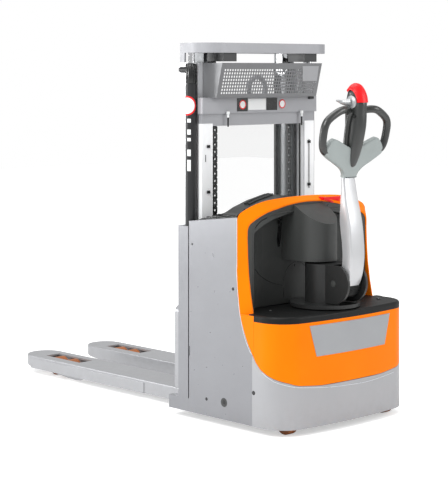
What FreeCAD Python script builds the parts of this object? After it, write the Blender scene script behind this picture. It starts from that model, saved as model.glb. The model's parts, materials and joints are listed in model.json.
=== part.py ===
"""Pedestrian pallet stacker with a two-stage mast, fixed fork spread and an upright tiller.

Millimetres, +X to the right, +Y towards the fork tips, +Z up. Sizes along Y are taken
from the front face of the fork heels, and the finished pieces are moved so that the
origin lies on the floor under the middle of the machine.
"""
import FreeCAD
import Part
import os
from math import asin, cos, pi, radians, sin, sqrt

V = FreeCAD.Vector
os.makedirs("parts", exist_ok=True)

# Overall sizes
half_width = 400.0
fork_length = 1150.0
rear_reach = 885.0
running = 5.0
seat = 0.3

# Forks and the support legs under them
fork_centre = 190.0
fork_width = 180.0
fork_top = 88.0
fork_skirt_bottom = 28.0
fork_plate = 8.0
nose_lift = 26.0
nose_rise_length = 150.0
window_width = 80.0
window_length = 262.0
window_from_tip = 147.0
skirt_end = 209.0
skirt_proud = 3.0
heel_depth = 48.0
heel_top = 450.0
leg_width = 140.0
leg_bottom = 32.0
leg_top = 74.0
leg_wall = 8.0
cheek_low = 9.0
cheek_rear = 650.0
cheek_low_at = 735.0
cheek_front = 1072.0
roller_r = 42.5
roller_width = 60.0
roller_front_y = 948.0
roller_pitch = 98.0
roller_axle_r = 10.0

# Chassis
foot_front = -96.0
foot_rear = -224.7
foot_bottom = 31.0
foot_top = 87.0
foot_wall = 10.0
tray_thick = 8.0
deck_z = 130.0
deck_thick = 12.0
turntable_z = 250.0
turntable_half = 150.0
frame_side_height = 260.0
step_y = -506.0

# Rear body: plan outline and the shaped lines on it
body_rear = 805.0
corner_x = 275.0
corner_r = 125.0
crown_r = 2200.0
sheet = 3.0
moulding = 4.0
body_bottom = 30.0
side_seam_y = -608.0
side_seam_z = 325.0
cover_seam_y = -617.5
panel_front_y = -225.0
panel_top_front = 846.0
panel_top_rear = 880.0
panel_rear_y = -520.0
panel_straight_z = 690.0
panel_bow_y = -542.0
panel_bow_z = 465.0
post_front_y = -155.0
post_rear_y = -219.0
post_top = 823.0
shelf_low = 460.0
shelf_top = 488.0
shelf_wall = 6.0
arch_front_y = -520.0
arch_rear_y = -551.0
arch_crown = 950.0
arch_shoulder = 886.0
arch_fall = 8.0
arch_inner_half = 375.0
arch_inner_crown = 932.0
arch_inner_shoulder = 848.0
arch_inner_fall = 22.0
arch_column_top = 800.0
arch_back = 6.0
column_foot_y = -588.0
column_r = 91.0
column_y = -592.0
column_low = 680.0
column_top_rear = 838.0

# Battery and its lid
lid_front_y = -280.0
lid_rear_y = -514.0
lid_crown = 927.0
battery_half = 350.0
battery_front_y = -262.0
battery_rear_y = -464.0
battery_top = 700.0

# Mast
outer_x0 = 288.0
outer_x1 = 340.0
rail_front_y = -95.0
outer_depth = 120.0
outer_wall = 12.0
outer_top = 1522.0
inner_x0 = 250.0
inner_x1 = 283.0
inner_depth = 95.0
inner_wall = 12.0
inner_web = 15.0
inner_bottom = 100.0
inner_top = 1565.0
top_bar_height = 43.0
top_bar_thick = 10.0
top_bar_half = 390.0
top_bar_rear_y = -340.0
top_bar_front_y = -157.0
top_bar_leg = 28.0
top_bar_leg_low = 1524.0
top_bar_corner = 100.0
head_plate = 8.0
cylinder_x = 368.0
cylinder_y = -204.0
cylinder_r = 25.0
cylinder_bore_r = 20.0
cylinder_top = 1430.0
port_z = 1492.0
port_r = 13.0
port_front_y = -138.0
gland_r = 21.5
gland_top = 1520.0
rod_r = 14.0
chain_x = 231.4
chain_width = 16.0
chain_thick = 12.0
pulley_y = -167.0
pulley_z = 1500.0
pulley_r = 36.0
chain_anchor_z = 700.0
tie_low = 620.0
rear_plate_x0 = 287.0
rear_plate_x1 = 350.0
rear_plate_y = -248.0
rear_plate_thick = 5.0
rear_lip = 14.0
cross_low = 1302.0
cross_high = 1372.0
cross_rear_y = -262.0
cross_half = 357.0
cross_wall = 6.0
second_low = 1249.0
second_half = 345.0
guard_half = 312.0
guard_low_y = -300.0
guard_high_y = -337.0
guard_sheet = 2.0
hole_rows = 8
hole_pitch_z = 14.5
hole_pitch_x = 15.0
hole_size = 9.0
screen_half = rear_plate_x0 - seat
screen_low = 880.0
screen_thick = 4.0

# Steering, drive wheel and castors
steer_y = -645.0
drive_r = 115.0
drive_width = 75.0
motor_r = 90.0
castor_x = 300.0
castor_y = -680.0
castor_trail = 30.0
castor_r = 50.0
castor_width = 38.0

# Tiller
tilt_y = -748.0
tilt_z = 597.0
disc_r = 150.0
disc_low = 493.0
disc_high = 508.0
shroud_r = 85.0
shroud_top = 672.0
cheek_r = 85.0
cheek_x0 = 50.0
cheek_x1 = 62.0
socket_r = 74.0
pivot_r = 14.0
yoke_y = -778.0
yoke_low = 1040.2
yoke_lean = 12.0
core_y = -805.0
core_low = 1083.0
core_lean = 8.5
hood_r = 37.0
hood_half = 28.0
hood_z = 1392.0
grip_r = 16.0


def box(x0, x1, y0, y1, z0, z1):
    """A block between the given lowest and highest corners."""
    return Part.makeBox(x1 - x0, y1 - y0, z1 - z0, V(x0, y0, z0))


def rod(radius, start, end):
    """A round bar between two points."""
    a = V(*start)
    run = V(*end) - a
    return Part.makeCylinder(radius, run.Length, a, run)


def prism(corners, plane, low, high):
    """A straight-sided solid: a polygon in a plane xy, yz or xz, carried from low to high."""
    place = {"xy": lambda a, b: V(a, b, low), "yz": lambda a, b: V(low, a, b), "xz": lambda a, b: V(a, low, b)}
    travel = {"xy": V(0, 0, high - low), "yz": V(high - low, 0, 0), "xz": V(0, high - low, 0)}
    points = [place[plane](a, b) for a, b in corners]
    return Part.Face(Part.makePolygon(points + points[:1])).extrude(travel[plane])


def curve_face(pieces, travel):
    """A solid from a closed run of lines (2 points) and arcs (3 points), carried along travel."""
    edges = []
    for piece in pieces:
        if len(piece) == 2:
            edges.append(Part.LineSegment(*piece).toShape())
        else:
            edges.append(Part.Arc(*piece).toShape())
    return Part.Face(Part.Wire(edges)).extrude(travel)


def mirrored(shape):
    """The same piece on the other side of the machine."""
    return shape.mirror(V(0, 0, 0), V(1, 0, 0))


def joined(shapes):
    """One solid from pieces that are welded or moulded together."""
    body = shapes[0].multiFuse(shapes[1:]) if len(shapes) > 1 else shapes[0]
    return body.removeSplitter()


def both_sides(shape):
    """The right piece and its mirror image, as two solids that don't touch."""
    return Part.makeCompound([shape, mirrored(shape)])


def soften(shape, radius, picks):
    """Rounds the edges that picks says yes to."""
    edges = [e for e in shape.Edges if picks(e)]
    return shape.makeFillet(radius, edges) if edges else shape


def bevelled(shape, size, picks):
    """Takes a bevel off the edges that picks says yes to."""
    return shape.makeChamfer(size, [e for e in shape.Edges if picks(e)])


def spans(edge):
    """The edge's box, for picking edges by where they lie."""
    return edge.BoundBox


def body_block(inset, front_y, low, high):
    """The rear body's plan outline, drawn in by inset, between two heights.

    The rear is a shallow crown that runs tangent into the two corner arcs.
    """
    side = half_width - inset
    small = corner_r - inset
    big = crown_r - inset
    corner_y = -body_rear + crown_r - sqrt((crown_r - corner_r) ** 2 - corner_x ** 2)
    lean = asin(corner_x / (crown_r - corner_r))
    half_turn = (pi / 2 + lean) / 2

    def on_corner(angle, hand):
        return V(hand * (corner_x + small * sin(angle)), corner_y - small * cos(angle), low)

    left = [on_corner(a, -1) for a in (pi / 2, half_turn, lean)]
    right = [on_corner(a, 1) for a in (lean, half_turn, pi / 2)]
    rear = V(0, -body_rear + crown_r - big, low)
    a = V(-side, front_y, low)
    b = V(side, front_y, low)
    pieces = [(a, left[0]), tuple(left), (left[2], rear, right[0]), tuple(right), (right[2], b), (b, a)]
    return curve_face(pieces, V(0, 0, high - low))


def arch_edges(half, shoulder, crown, y0, low, fall):
    """A rounded gable across the body at y0: upright sides, two shoulder arcs and a long crown."""
    turn_x = half * 0.53
    turn_z = crown - fall
    a = V(-half, y0, low)
    b = V(-half, y0, shoulder - 24.0)
    c = V(-half + 24.0, y0, shoulder + 14.0)
    d = V(-turn_x, y0, turn_z)
    e = V(0, y0, crown)
    bow = V(-(half - 24.0 + turn_x) / 2, y0, (shoulder + 14.0 + turn_z) / 2 + 7.0)

    def other(p):
        return V(-p.x, p.y, p.z)

    knee = V(-half + 7.0, y0, shoulder)
    return [
        (a, b), (b, knee, c), (c, bow, d), (d, e, other(d)),
        (other(d), other(bow), other(c)), (other(c), other(knee), other(b)), (other(b), other(a)), (other(a), a),
    ]


def arch_block(half, shoulder, crown, y0, y1, low, fall=8.0):
    """The same gable as a straight block from y0 to y1."""
    return curve_face(arch_edges(half, shoulder, crown, y0, low, fall), V(0, y1 - y0, 0))


def wire_of(run):
    """One wire from a run of lines (2 points) and arcs (3 points)."""
    return Part.Wire([(Part.LineSegment if len(p) == 2 else Part.Arc)(*p).toShape() for p in run])


def arc_points(first, middle, last, count):
    """Points spaced along the arc through three (y, z) points, both ends included."""
    arc = Part.Arc(*[V(0, y, z) for y, z in (first, middle, last)]).toShape()
    return [(p.y, p.z) for p in arc.discretize(count)]


# Lines on the rear body, seen from the side: (y, z)
bumper_line = [(-812.0, 195.0), (-797.0, 195.0), (-785.0, 205.0), (-765.0, 219.0), (-720.0, 236.0), (-690.0, 249.0),
               (-655.0, 269.0), (-630.0, 293.0), (side_seam_y, side_seam_z)]
panel_rear_line = arc_points((side_seam_y, side_seam_z), (panel_bow_y, panel_bow_z), (panel_rear_y, panel_straight_z), 9)

pieces = {}


def fork(hand):
    """One fork: a pressed channel, open below, with a rounded nose, a roller window and a heel shank."""
    half = fork_width / 2
    nose_y = fork_length - half
    outline = curve_face(
        [
            (V(-half, -heel_depth, fork_skirt_bottom), V(-half, nose_y, fork_skirt_bottom)),
            (
                V(-half, nose_y, fork_skirt_bottom),
                V(0, fork_length, fork_skirt_bottom),
                V(half, nose_y, fork_skirt_bottom),
            ),
            (V(half, nose_y, fork_skirt_bottom), V(half, -heel_depth, fork_skirt_bottom)),
            (V(half, -heel_depth, fork_skirt_bottom), V(-half, -heel_depth, fork_skirt_bottom)),
        ],
        V(0, 0, fork_top - fork_skirt_bottom),
    )
    blade = soften(outline, 6.0, lambda e: spans(e).ZMin > fork_top - 1 and spans(e).YMax > 0)
    hollow = box(-half + fork_plate, half - fork_plate, -heel_depth - 1, cheek_front + 12.0,
                 fork_skirt_bottom - 1, fork_top - fork_plate)
    blade = blade.cut(hollow)
    rise = prism(
        [
            (fork_length - nose_rise_length, fork_skirt_bottom - 1),
            (fork_length - nose_rise_length, fork_skirt_bottom),
            (fork_length - nose_rise_length * 0.45, fork_skirt_bottom + nose_lift * 0.3),
            (fork_length + 1, fork_skirt_bottom + nose_lift),
            (fork_length + 1, fork_skirt_bottom - 1),
        ],
        "yz", -half - 1, half + 1,
    )
    window_end = fork_length - window_from_tip
    window = box(-window_width / 2, window_width / 2, window_end - window_length, window_end, fork_top - 20, fork_top + 1)
    blade = blade.cut([rise, window])
    skirt = box(half, half + skirt_proud, skirt_end, nose_y, fork_skirt_bottom, fork_top - 12.0)
    skirt = soften(skirt, 2.0, lambda e: spans(e).ZMin > fork_top - 13 and spans(e).XMin > half + 1)
    shank = box(-half, half, -heel_depth, 0, fork_top, heel_top)
    shank = soften(shank, 30.0, lambda e: spans(e).ZMin > heel_top - 1 and spans(e).XLength < 1)
    gusset = prism([(0, fork_top), (70.0, fork_top), (0, fork_top + 70.0)], "yz", -5.0, 5.0)
    one = joined([blade, shank, gusset])
    one = joined([one, skirt if hand > 0 else mirrored(skirt)])
    one.translate(V(hand * fork_centre, 0, 0))
    return one


def support_leg(hand):
    """One leg under its fork: a box beam, two cheeks round the load rollers and their axles."""
    half = leg_width / 2
    beam_end = cheek_rear + 40.0
    beam = box(-half, half, foot_front, beam_end, leg_bottom, leg_top)
    beam = beam.cut(box(-half + leg_wall, half - leg_wall, foot_front - 1, beam_end - leg_wall,
                        leg_bottom + leg_wall, leg_top - leg_wall))
    side = [
        (cheek_rear, leg_top), (cheek_rear, leg_bottom), (cheek_low_at - 40.0, cheek_low + 4.0),
        (cheek_low_at, cheek_low), (cheek_low_at + 60.0, cheek_low + 3.0), (960.0, leg_bottom - 4.0),
        (cheek_front - 20.0, leg_bottom + 16.0), (cheek_front, leg_bottom + 30.0), (cheek_front, leg_top),
    ]
    cheeks = [prism(side, "yz", x0, x0 + leg_wall) for x0 in (-half, half - leg_wall)]
    nose = box(-half, half, cheek_front - 30.0, cheek_front, leg_bottom + 30.0, leg_top)
    axles = []
    for y in (roller_front_y, roller_front_y - roller_pitch):
        axles.append(rod(roller_axle_r, (-half, y, roller_r), (half, y, roller_r)))
        for side_x in (-1, 1):
            spacer = (side_x * (roller_width / 2 + 1.0), y, roller_r)
            axles.append(rod(roller_axle_r + 7.0, spacer, (side_x * (half - leg_wall + 1.0), y, roller_r)))
    leg = joined([beam, nose] + cheeks + axles)
    leg.translate(V(hand * fork_centre, 0, 0))
    return leg


def roller(radius, width, bore_r, core_r):
    """A polyurethane roller on a steel core, lying along X about the origin."""
    tyre = rod(radius, (-width / 2, 0, 0), (width / 2, 0, 0))
    tyre = bevelled(tyre, 3.0, lambda e: spans(e).XLength < 0.1 and spans(e).YLength > radius * 1.9)
    tyre = tyre.cut(rod(bore_r, (-width, 0, 0), (width, 0, 0)))
    for hand in (-1, 1):
        recess = rod(core_r, (hand * (width / 2 - 4.0), 0, 0), (hand * (width / 2 + 1.0), 0, 0))
        tyre = tyre.cut(recess.cut(rod(bore_r + 6.0, (-width, 0, 0), (width, 0, 0))))
    return tyre


def rail(x0, x1, depth, web, wall, low, high):
    """A mast rail: a channel that opens towards the middle of the mast."""
    y0 = rail_front_y - depth
    whole = box(x0, x1, y0, rail_front_y, low, high)
    return whole.cut(box(x0 - 1, x1 - web, y0 + wall, rail_front_y - wall, low - 1, high + 1))


def perforated(width, height, rows, plate):
    """A sheet standing in XZ about X 0 from Z 0, with rows of square holes."""
    sheet_body = box(-width / 2, width / 2, -plate, 0, 0, height)
    count = int((width - 30.0) / hole_pitch_x)
    start = -(count - 1) * hole_pitch_x / 2
    cuts = []
    for row in range(rows):
        z = 16.0 + row * hole_pitch_z
        for column in range(count):
            x = start + column * hole_pitch_x
            if row > rows - 5 and x > width / 2 - 110.0:
                continue
            cuts.append(box(x - hole_size / 2, x + hole_size / 2, -plate - 1, 1, z, z + hole_size))
    return sheet_body.cut(cuts)


# Forks and their carriage
for hand, name in ((-1, "left"), (1, "right")):
    pieces["fork_" + name] = fork(hand)
    pieces["support_leg_" + name] = support_leg(hand)
    for place, y in (("front", roller_front_y), ("rear", roller_front_y - roller_pitch)):
        wheel = roller(roller_r, roller_width, roller_axle_r + 0.05, roller_r - 10.0)
        wheel.translate(V(hand * fork_centre, y, roller_r))
        pieces["load_roller_%s_%s" % (name, place)] = wheel

carriage_x = chain_x - chain_width / 2 - running
carriage_rear_y = rail_front_y - inner_depth + inner_wall + 6.0
channel_mid_y = rail_front_y - inner_depth / 2
channel_r = inner_depth / 2 - inner_wall - running
side_plate = box(carriage_x - 15.0, carriage_x, carriage_rear_y, -heel_depth - 12.0, 100.0, 440.0)
carriage = [side_plate, mirrored(side_plate)]
for z0, z1 in ((110.0, 190.0), (350.0, 430.0)):
    carriage.append(box(-carriage_x, carriage_x, -heel_depth - 12.0, -heel_depth, z0, z1))
for x in (-fork_centre, fork_centre):
    carriage.append(box(x - 45.0, x + 39.0, -heel_depth - 12.0, -heel_depth, 100.0, 440.0))
for z in (150.0, 390.0):
    for hand in (-1, 1):
        near = hand * (carriage_x - 2)
        carriage.append(rod(10.0, (near, channel_mid_y, z), (hand * (inner_x0 + 2), channel_mid_y, z)))
        carriage.append(rod(channel_r, (hand * inner_x0, channel_mid_y, z),
                            (hand * (inner_x1 - inner_web - seat), channel_mid_y, z)))
pieces["fork_carriage"] = joined(carriage)

# Outer mast
outer = rail(outer_x0, outer_x1, outer_depth, outer_wall, outer_wall, foot_top, outer_top)
pieces["outer_rail_right"] = outer
pieces["outer_rail_left"] = mirrored(outer)
outer_rear_y = rail_front_y - outer_depth
backing = joined([
    box(rear_plate_x0, rear_plate_x1, rear_plate_y - rear_plate_thick, rear_plate_y, tie_low, cross_high),
    box(rear_plate_x0, rear_plate_x0 + rear_plate_thick, rear_plate_y - 1, outer_rear_y, tie_low, cross_high),
    box(outer_x1 - rear_plate_thick, outer_x1, rear_plate_y - 1, outer_rear_y, tie_low, cross_high),
    box(rear_plate_x1 - rear_plate_thick, rear_plate_x1, rear_plate_y - 1, rear_plate_y + rear_lip, tie_low, cross_high),
])


def cross_channel(half, rear_y, z0, z1):
    """A crossmember pressed from one plate: a flat rear face with both ends turned forward."""
    ends = [box(x, x + cross_wall, rear_y, rear_plate_y + rear_lip, z0, z1) for x in (-half, half - cross_wall)]
    return joined([box(-half, half, rear_y, rear_y + cross_wall, z0, z1)] + ends)


upper = cross_channel(cross_half, cross_rear_y, cross_low, cross_high)
upper = joined([upper, box(-cross_half, cross_half, cross_rear_y, rear_plate_y, cross_high - cross_wall, cross_high)])
second = box(-second_half, second_half, rear_plate_y - rear_plate_thick, rear_plate_y, second_low, cross_low)
eye_half = 50.0
eye_r = 11.0
eye_y = cross_rear_y + 26.0
eye_top = 1460.0
eye_legs = [rod(eye_r, (x, eye_y, cross_high - 20.0), (x, eye_y, eye_top - eye_half)) for x in (-eye_half, eye_half)]
eye_path = Part.Wire([
    Part.Arc(V(-eye_half, eye_y, eye_top - eye_half), V(0, eye_y, eye_top), V(eye_half, eye_y, eye_top - eye_half)).toShape()
])
eye_ring = eye_path.makePipeShell(
    [Part.Wire([Part.Circle(V(-eye_half, eye_y, eye_top - eye_half), V(0, 0, 1), eye_r).toShape()])], True, True
)
eye_foot = box(-eye_half - 20.0, eye_half + 20.0, cross_rear_y + cross_wall - 1, eye_y + eye_r, cross_high - 30.0, cross_high)
tie_half = rear_plate_x0 - seat
tie = box(-tie_half, tie_half, outer_rear_y - 8.0, outer_rear_y, tie_low, chain_anchor_z)
pieces["mast_crossmembers"] = joined(
    [upper, second, eye_foot, eye_ring, backing, mirrored(backing)] + eye_legs)

guard_height = outer_top - cross_high - seat
lean = guard_low_y - guard_high_y
front_sheet = perforated(2 * guard_half, sqrt(guard_height ** 2 + lean ** 2), hole_rows, guard_sheet)
front_sheet.rotate(V(0, 0, 0), V(1, 0, 0), 90.0 - 180.0 / pi * asin(guard_height / sqrt(guard_height ** 2 + lean ** 2)))
front_sheet.translate(V(0, guard_low_y, cross_high + seat))
wing = prism(
    [(guard_low_y, cross_high + seat), (guard_high_y, outer_top), (outer_rear_y - 1.0, outer_top),
     (outer_rear_y - 1.0, cross_high + seat)],
    "yz", guard_half - guard_sheet, guard_half,
)
guard_foot = box(-guard_half, guard_half, guard_low_y - guard_sheet, eye_y - eye_r - 3.0, cross_high + seat,
                 cross_high + seat + guard_sheet)
pieces["mesh_guard"] = joined([front_sheet, wing, mirrored(wing), guard_foot])

pieces["mast_screen"] = box(-screen_half, screen_half, outer_rear_y - seat - screen_thick, outer_rear_y - seat,
                            screen_low, second_low + 20.0)

tube = rod(cylinder_r, (cylinder_x, cylinder_y, foot_top), (cylinder_x, cylinder_y, cylinder_top))
gland = rod(gland_r, (cylinder_x, cylinder_y, cylinder_top - 1), (cylinder_x, cylinder_y, gland_top))
barrel = joined([tube, gland]).cut(rod(cylinder_bore_r, (cylinder_x, cylinder_y, foot_top + 40.0),
                                       (cylinder_x, cylinder_y, cylinder_top - 20.0)))
barrel = barrel.cut(rod(rod_r + 1.0, (cylinder_x, cylinder_y, cylinder_top - 30.0), (cylinder_x, cylinder_y, gland_top + 1)))
port = rod(port_r, (cylinder_x, cylinder_y + cylinder_r - 8.0, port_z), (cylinder_x, port_front_y, port_z))
pieces["lift_cylinders"] = both_sides(joined([barrel, port]))

hose_x = 272.0
hose_y = -237.0
hose_r = 4.0
hose = [rod(hose_r, (hose_x, hose_y, tie_low), (hose_x, hose_y, second_low + 10.0))]
hose.append(rod(7.0, (hose_x, hose_y, second_low + 8.0), (hose_x, hose_y, second_low + 30.0)))
hose.append(box(hose_x - 5.0, hose_x + 5.0, hose_y, outer_rear_y - 8.0 - seat, tie_low + 10.0, tie_low + 30.0))
pieces["mast_hose"] = joined(hose)

# Inner mast
inner = rail(inner_x0, inner_x1, inner_depth, inner_web, inner_wall, inner_bottom, inner_top)
notch_z = pulley_z - pulley_r - chain_thick - 20.0
outer_channel_mid = rail_front_y - outer_depth / 2
outer_channel_r = outer_depth / 2 - outer_wall - running
guides = []
for z in (160.0, 430.0):
    guides.append(rod(12.0, (inner_x1 - 2, outer_channel_mid, z), (outer_x0 + 6.0, outer_channel_mid, z)))
    guides.append(rod(outer_channel_r, (outer_x0 + 4.0, outer_channel_mid, z),
                      (outer_x1 - outer_wall - seat, outer_channel_mid, z)))
inner = joined([inner] + guides)
pieces["inner_rail_right"] = inner
pieces["inner_rail_left"] = mirrored(inner)
inner_tie = box(-inner_x0, inner_x0, rail_front_y - inner_depth, rail_front_y - inner_depth + inner_wall,
                inner_bottom, inner_bottom + 80.0)

def bent_bar(inset):
    """The plan of the bent top bar, drawn in by inset, as a solid block."""
    side = top_bar_half - inset
    rear = top_bar_rear_y + inset
    r = top_bar_corner - inset
    k = r * (1 - cos(pi / 4))
    c = [V(-side, top_bar_front_y + inset, inner_top), V(-side, rear + r, inner_top), V(-side + k, rear + k, inner_top),
         V(-side + r, rear, inner_top)]
    d = [V(-p.x, p.y, p.z) for p in reversed(c)]
    lines = [(c[0], c[1]), (c[1], c[2], c[3]), (c[3], d[0]), (d[0], d[1], d[2]), (d[2], d[3]), (d[3], c[0])]
    return curve_face(lines, V(0, 0, top_bar_height))


plate_part = bent_bar(2.0).common(box(-half_width, half_width, -500, 0, inner_top, inner_top + head_plate))
plate_part = plate_part.cut(box(-200.0, 200.0, -300.0, -120.0, 0, 2000.0))
front_strip = box(-inner_x1, inner_x1, top_bar_front_y - 10.0, rail_front_y, inner_top, inner_top + head_plate)
shell = bent_bar(0).cut(bent_bar(top_bar_thick))
leg = box(top_bar_half - top_bar_thick, top_bar_half, top_bar_front_y - top_bar_leg, top_bar_front_y, top_bar_leg_low,
          inner_top + head_plate)
pieces["inner_crossmembers"] = Part.makeCompound([joined([shell, plate_part, front_strip, leg, mirrored(leg)]), inner_tie])

block = box(212.0, 292.0, -324.0, -222.0, gland_top + 8.0, inner_top)
pieces["mast_head_blocks"] = both_sides(block)

piston_z = 160.0
lift_rod = rod(rod_r, (cylinder_x, cylinder_y, piston_z), (cylinder_x, cylinder_y, inner_top))
piston = rod(cylinder_bore_r - 0.5, (cylinder_x, cylinder_y, piston_z), (cylinder_x, cylinder_y, piston_z + 30.0))
pieces["lift_rods"] = both_sides(joined([lift_rod, piston]))

wheel = rod(pulley_r, (chain_x - chain_width / 2, pulley_y, pulley_z), (chain_x + chain_width / 2, pulley_y, pulley_z))
pin = rod(9.0, (chain_x - chain_width / 2 - 6.0, pulley_y, pulley_z), (inner_x1 - inner_web, pulley_y, pulley_z))
hanger = box(chain_x - chain_width / 2 - 12.0, chain_x - chain_width / 2 - 4.0, pulley_y - 18.0, pulley_y + 18.0,
             pulley_z - 20.0, inner_top)
pieces["chain_pulleys"] = both_sides(joined([wheel, pin, hanger]))

over_r = pulley_r + chain_thick
x0 = chain_x - chain_width / 2 + 1.0
x1 = chain_x + chain_width / 2 - 1.0
band = rod(over_r, (x0, pulley_y, pulley_z), (x1, pulley_y, pulley_z)).cut(
    rod(pulley_r + seat, (x0 - 1, pulley_y, pulley_z), (x1 + 1, pulley_y, pulley_z)))
band = band.common(box(x0, x1, pulley_y - over_r, pulley_y + over_r, pulley_z, pulley_z + over_r))
front_strand = box(x0, x1, pulley_y + pulley_r + seat, pulley_y + over_r, 430.0, pulley_z)
pieces["mast_chains"] = both_sides(joined([band, front_strand]))
rear_strand = box(x0, x1, pulley_y - over_r, pulley_y - pulley_r - seat, chain_anchor_z - 30.0, pulley_z - seat)
lug = box(x0 - 6, x1 + 6, outer_rear_y, pulley_y - pulley_r - seat, chain_anchor_z - 60.0, chain_anchor_z - 20.0)
anchor = joined([rear_strand, lug])
pieces["chain_anchors"] = joined([tie, anchor, mirrored(anchor)])

# Chassis
foot = box(-half_width, half_width, foot_rear, foot_front, foot_bottom, foot_top)
foot = foot.cut(box(-half_width + foot_wall, half_width - foot_wall, foot_rear - 1, foot_front - foot_wall,
                    foot_bottom - 1, foot_top - foot_wall))
tray_half = half_width - sheet - 5.0
tray = box(-tray_half, tray_half, step_y, foot_rear + 1, foot_top - tray_thick, foot_top)
rails_side = box(tray_half - 8.0, tray_half, side_seam_y - 40.0, foot_rear, foot_top - tray_thick, frame_side_height)
rear_deck = body_block(moulding + 8.0, step_y, deck_z, deck_z + deck_thick)
rear_deck = rear_deck.cut(rod(sqrt(drive_r ** 2 + drive_width ** 2 / 4) + 9.0, (0, steer_y, 0), (0, steer_y, 400)))
riser = box(-tray_half, tray_half, step_y - 8.0, step_y, foot_top - tray_thick, deck_z + deck_thick)
turntable = box(-turntable_half, turntable_half, steer_y - 100.0, steer_y + 120.0, turntable_z, turntable_z + 12.0)
turntable = turntable.cut(rod(motor_r + running, (0, steer_y, 0), (0, steer_y, 400)))
webs = [box(x, x + 12.0, steer_y - 100.0, steer_y + 120.0, deck_z + 1, turntable_z + 1)
        for x in (-turntable_half, turntable_half - 12.0)]
castor_pads = [rod(45.0, (x, castor_y, deck_z - 6.0), (x, castor_y, deck_z + 1)) for x in (-castor_x, castor_x)]
chassis = joined([foot, tray, rails_side, mirrored(rails_side), rear_deck, riser, turntable] + webs + castor_pads)
pieces["chassis_frame"] = chassis

pieces["battery_block"] = box(-battery_half, battery_half, battery_rear_y, battery_front_y, foot_top, battery_top)

# Body panels
panel_corners = [
    (panel_front_y, body_bottom + 1.0), (panel_front_y, panel_top_front), (panel_rear_y, panel_top_rear),
] + panel_rear_line[::-1] + [(side_seam_y, body_bottom + 1.0)]
panel = prism(panel_corners, "yz", half_width - sheet, half_width)
lip_front_y = panel_front_y - 14.0
lip_front_z = panel_top_front + 14.0 * (panel_top_rear - panel_top_front) / (panel_front_y - panel_rear_y)
lip = prism(
    [(lip_front_y, lip_front_z), (panel_rear_y, panel_top_rear), (panel_rear_y, panel_top_rear - sheet),
     (lip_front_y, lip_front_z - sheet)],
    "yz", half_width - 25.0, half_width - 1.0,
)
mount_strip = box(tray_half - 0.0, half_width - sheet + 0.5, -520.0, -260.0, 120.0, 160.0)
side = joined([panel, lip, mount_strip])

post = joined([
    box(half_width - 4.0, half_width, post_rear_y, post_front_y, foot_top, post_top),
    box(half_width - 55.0, half_width - 3.0, post_front_y - 4.0, post_front_y, foot_top, post_top),
])
post = soften(post, 3.0, lambda e: spans(e).XMin > half_width - 1 and spans(e).YMin > post_front_y - 1
              and spans(e).ZLength > 100)
pieces["side_cover_right"] = Part.makeCompound([side, post])
pieces["side_cover_left"] = mirrored(pieces["side_cover_right"])


def rear_shell(skin_inset, skin, low, high, corners):
    """A wall of the rear body, between heights, kept inside a side-view polygon."""
    wall = body_block(skin_inset, side_seam_y + 120.0, low, high)
    wall = wall.cut(body_block(skin_inset + skin, side_seam_y + 121.0, low - 1, high + 1))
    return wall.common(prism(corners, "yz", -half_width - 1, half_width + 1))


bumper_side = [(side_seam_y - 0.5, body_bottom)] + [(y - 0.5 if y == side_seam_y else y, z) for y, z in reversed(bumper_line)]
bumper_side += [(-812.0, body_bottom)]
pieces["bumper_skirt"] = rear_shell(0, moulding, body_bottom, 340.0, bumper_side)

cover_side = [(y, z + 2.0) for y, z in bumper_line if y < cover_seam_y]
cover_side += [(cover_seam_y - 0.5, bumper_line[-2][1] + 20.0), (cover_seam_y - 0.5, shelf_low), (-812.0, shelf_low)]
pieces["lower_cover"] = rear_shell(0.5, moulding, 190.0, shelf_low, cover_side)

badge = prism([(-250.0, 446.0), (250.0, 446.0), (212.0, 318.0), (-212.0, 318.0)], "xz", -body_rear - 2.0, -700.0)
badge_wall = body_block(-1.5, side_seam_y, 300.0, 450.0).cut(body_block(0.5 - seat, side_seam_y + 1, 299.0, 451.0))
pieces["badge_plate"] = badge_wall.common(badge)

shelf = body_block(0, cover_seam_y - seat, shelf_low, shelf_top)
shelf = soften(shelf, 10.0, lambda e: spans(e).ZMin > shelf_top - 1 and spans(e).YMax < cover_seam_y - 1)
shelf = shelf.cut(body_block(shelf_wall, cover_seam_y, shelf_low - 1, shelf_top - shelf_wall))
neck = box(-arch_inner_half + arch_back, arch_inner_half - arch_back, cover_seam_y - 2.0, -500.0,
           shelf_top - shelf_wall, shelf_top)
corner_slab = box(-half_width + 1.0, half_width - 1.0, cover_seam_y - 2.0, column_foot_y - 0.6,
                  shelf_top - shelf_wall + 1.0 + seat, shelf_top)
shelf = joined([shelf, neck, corner_slab]).cut(rod(62.0, (0, steer_y, 400), (0, steer_y, 600)))
pieces["shelf"] = shelf

# Arch: the bevelled band over the recess, its columns beside the recess and the strips below the shelf
outer_run = arch_edges(half_width, arch_shoulder, arch_crown, arch_front_y, arch_column_top, arch_fall)
inner_run = arch_edges(arch_inner_half, arch_inner_shoulder, arch_inner_crown, arch_rear_y, arch_column_top, arch_inner_fall)
band = Part.makeLoft([wire_of(outer_run), wire_of(inner_run)], True, True)
band = band.cut(arch_block(arch_inner_half - arch_back, arch_inner_shoulder - arch_back, arch_inner_crown - arch_back,
                           arch_rear_y - 1, arch_front_y + 1, arch_column_top - 1, arch_inner_fall))

# Columns of the arch by height: z, outer edge y at the side skin, inner edge y at the recess
column_rows = [(z, None, y) for z, y in ((shelf_top - shelf_wall, column_foot_y), (560.0, -572.0), (640.0, -560.0),
                                              (panel_straight_z, -556.0), (720.0, -554.0))]
column_rows.append((arch_column_top, panel_rear_y, arch_rear_y))


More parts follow.
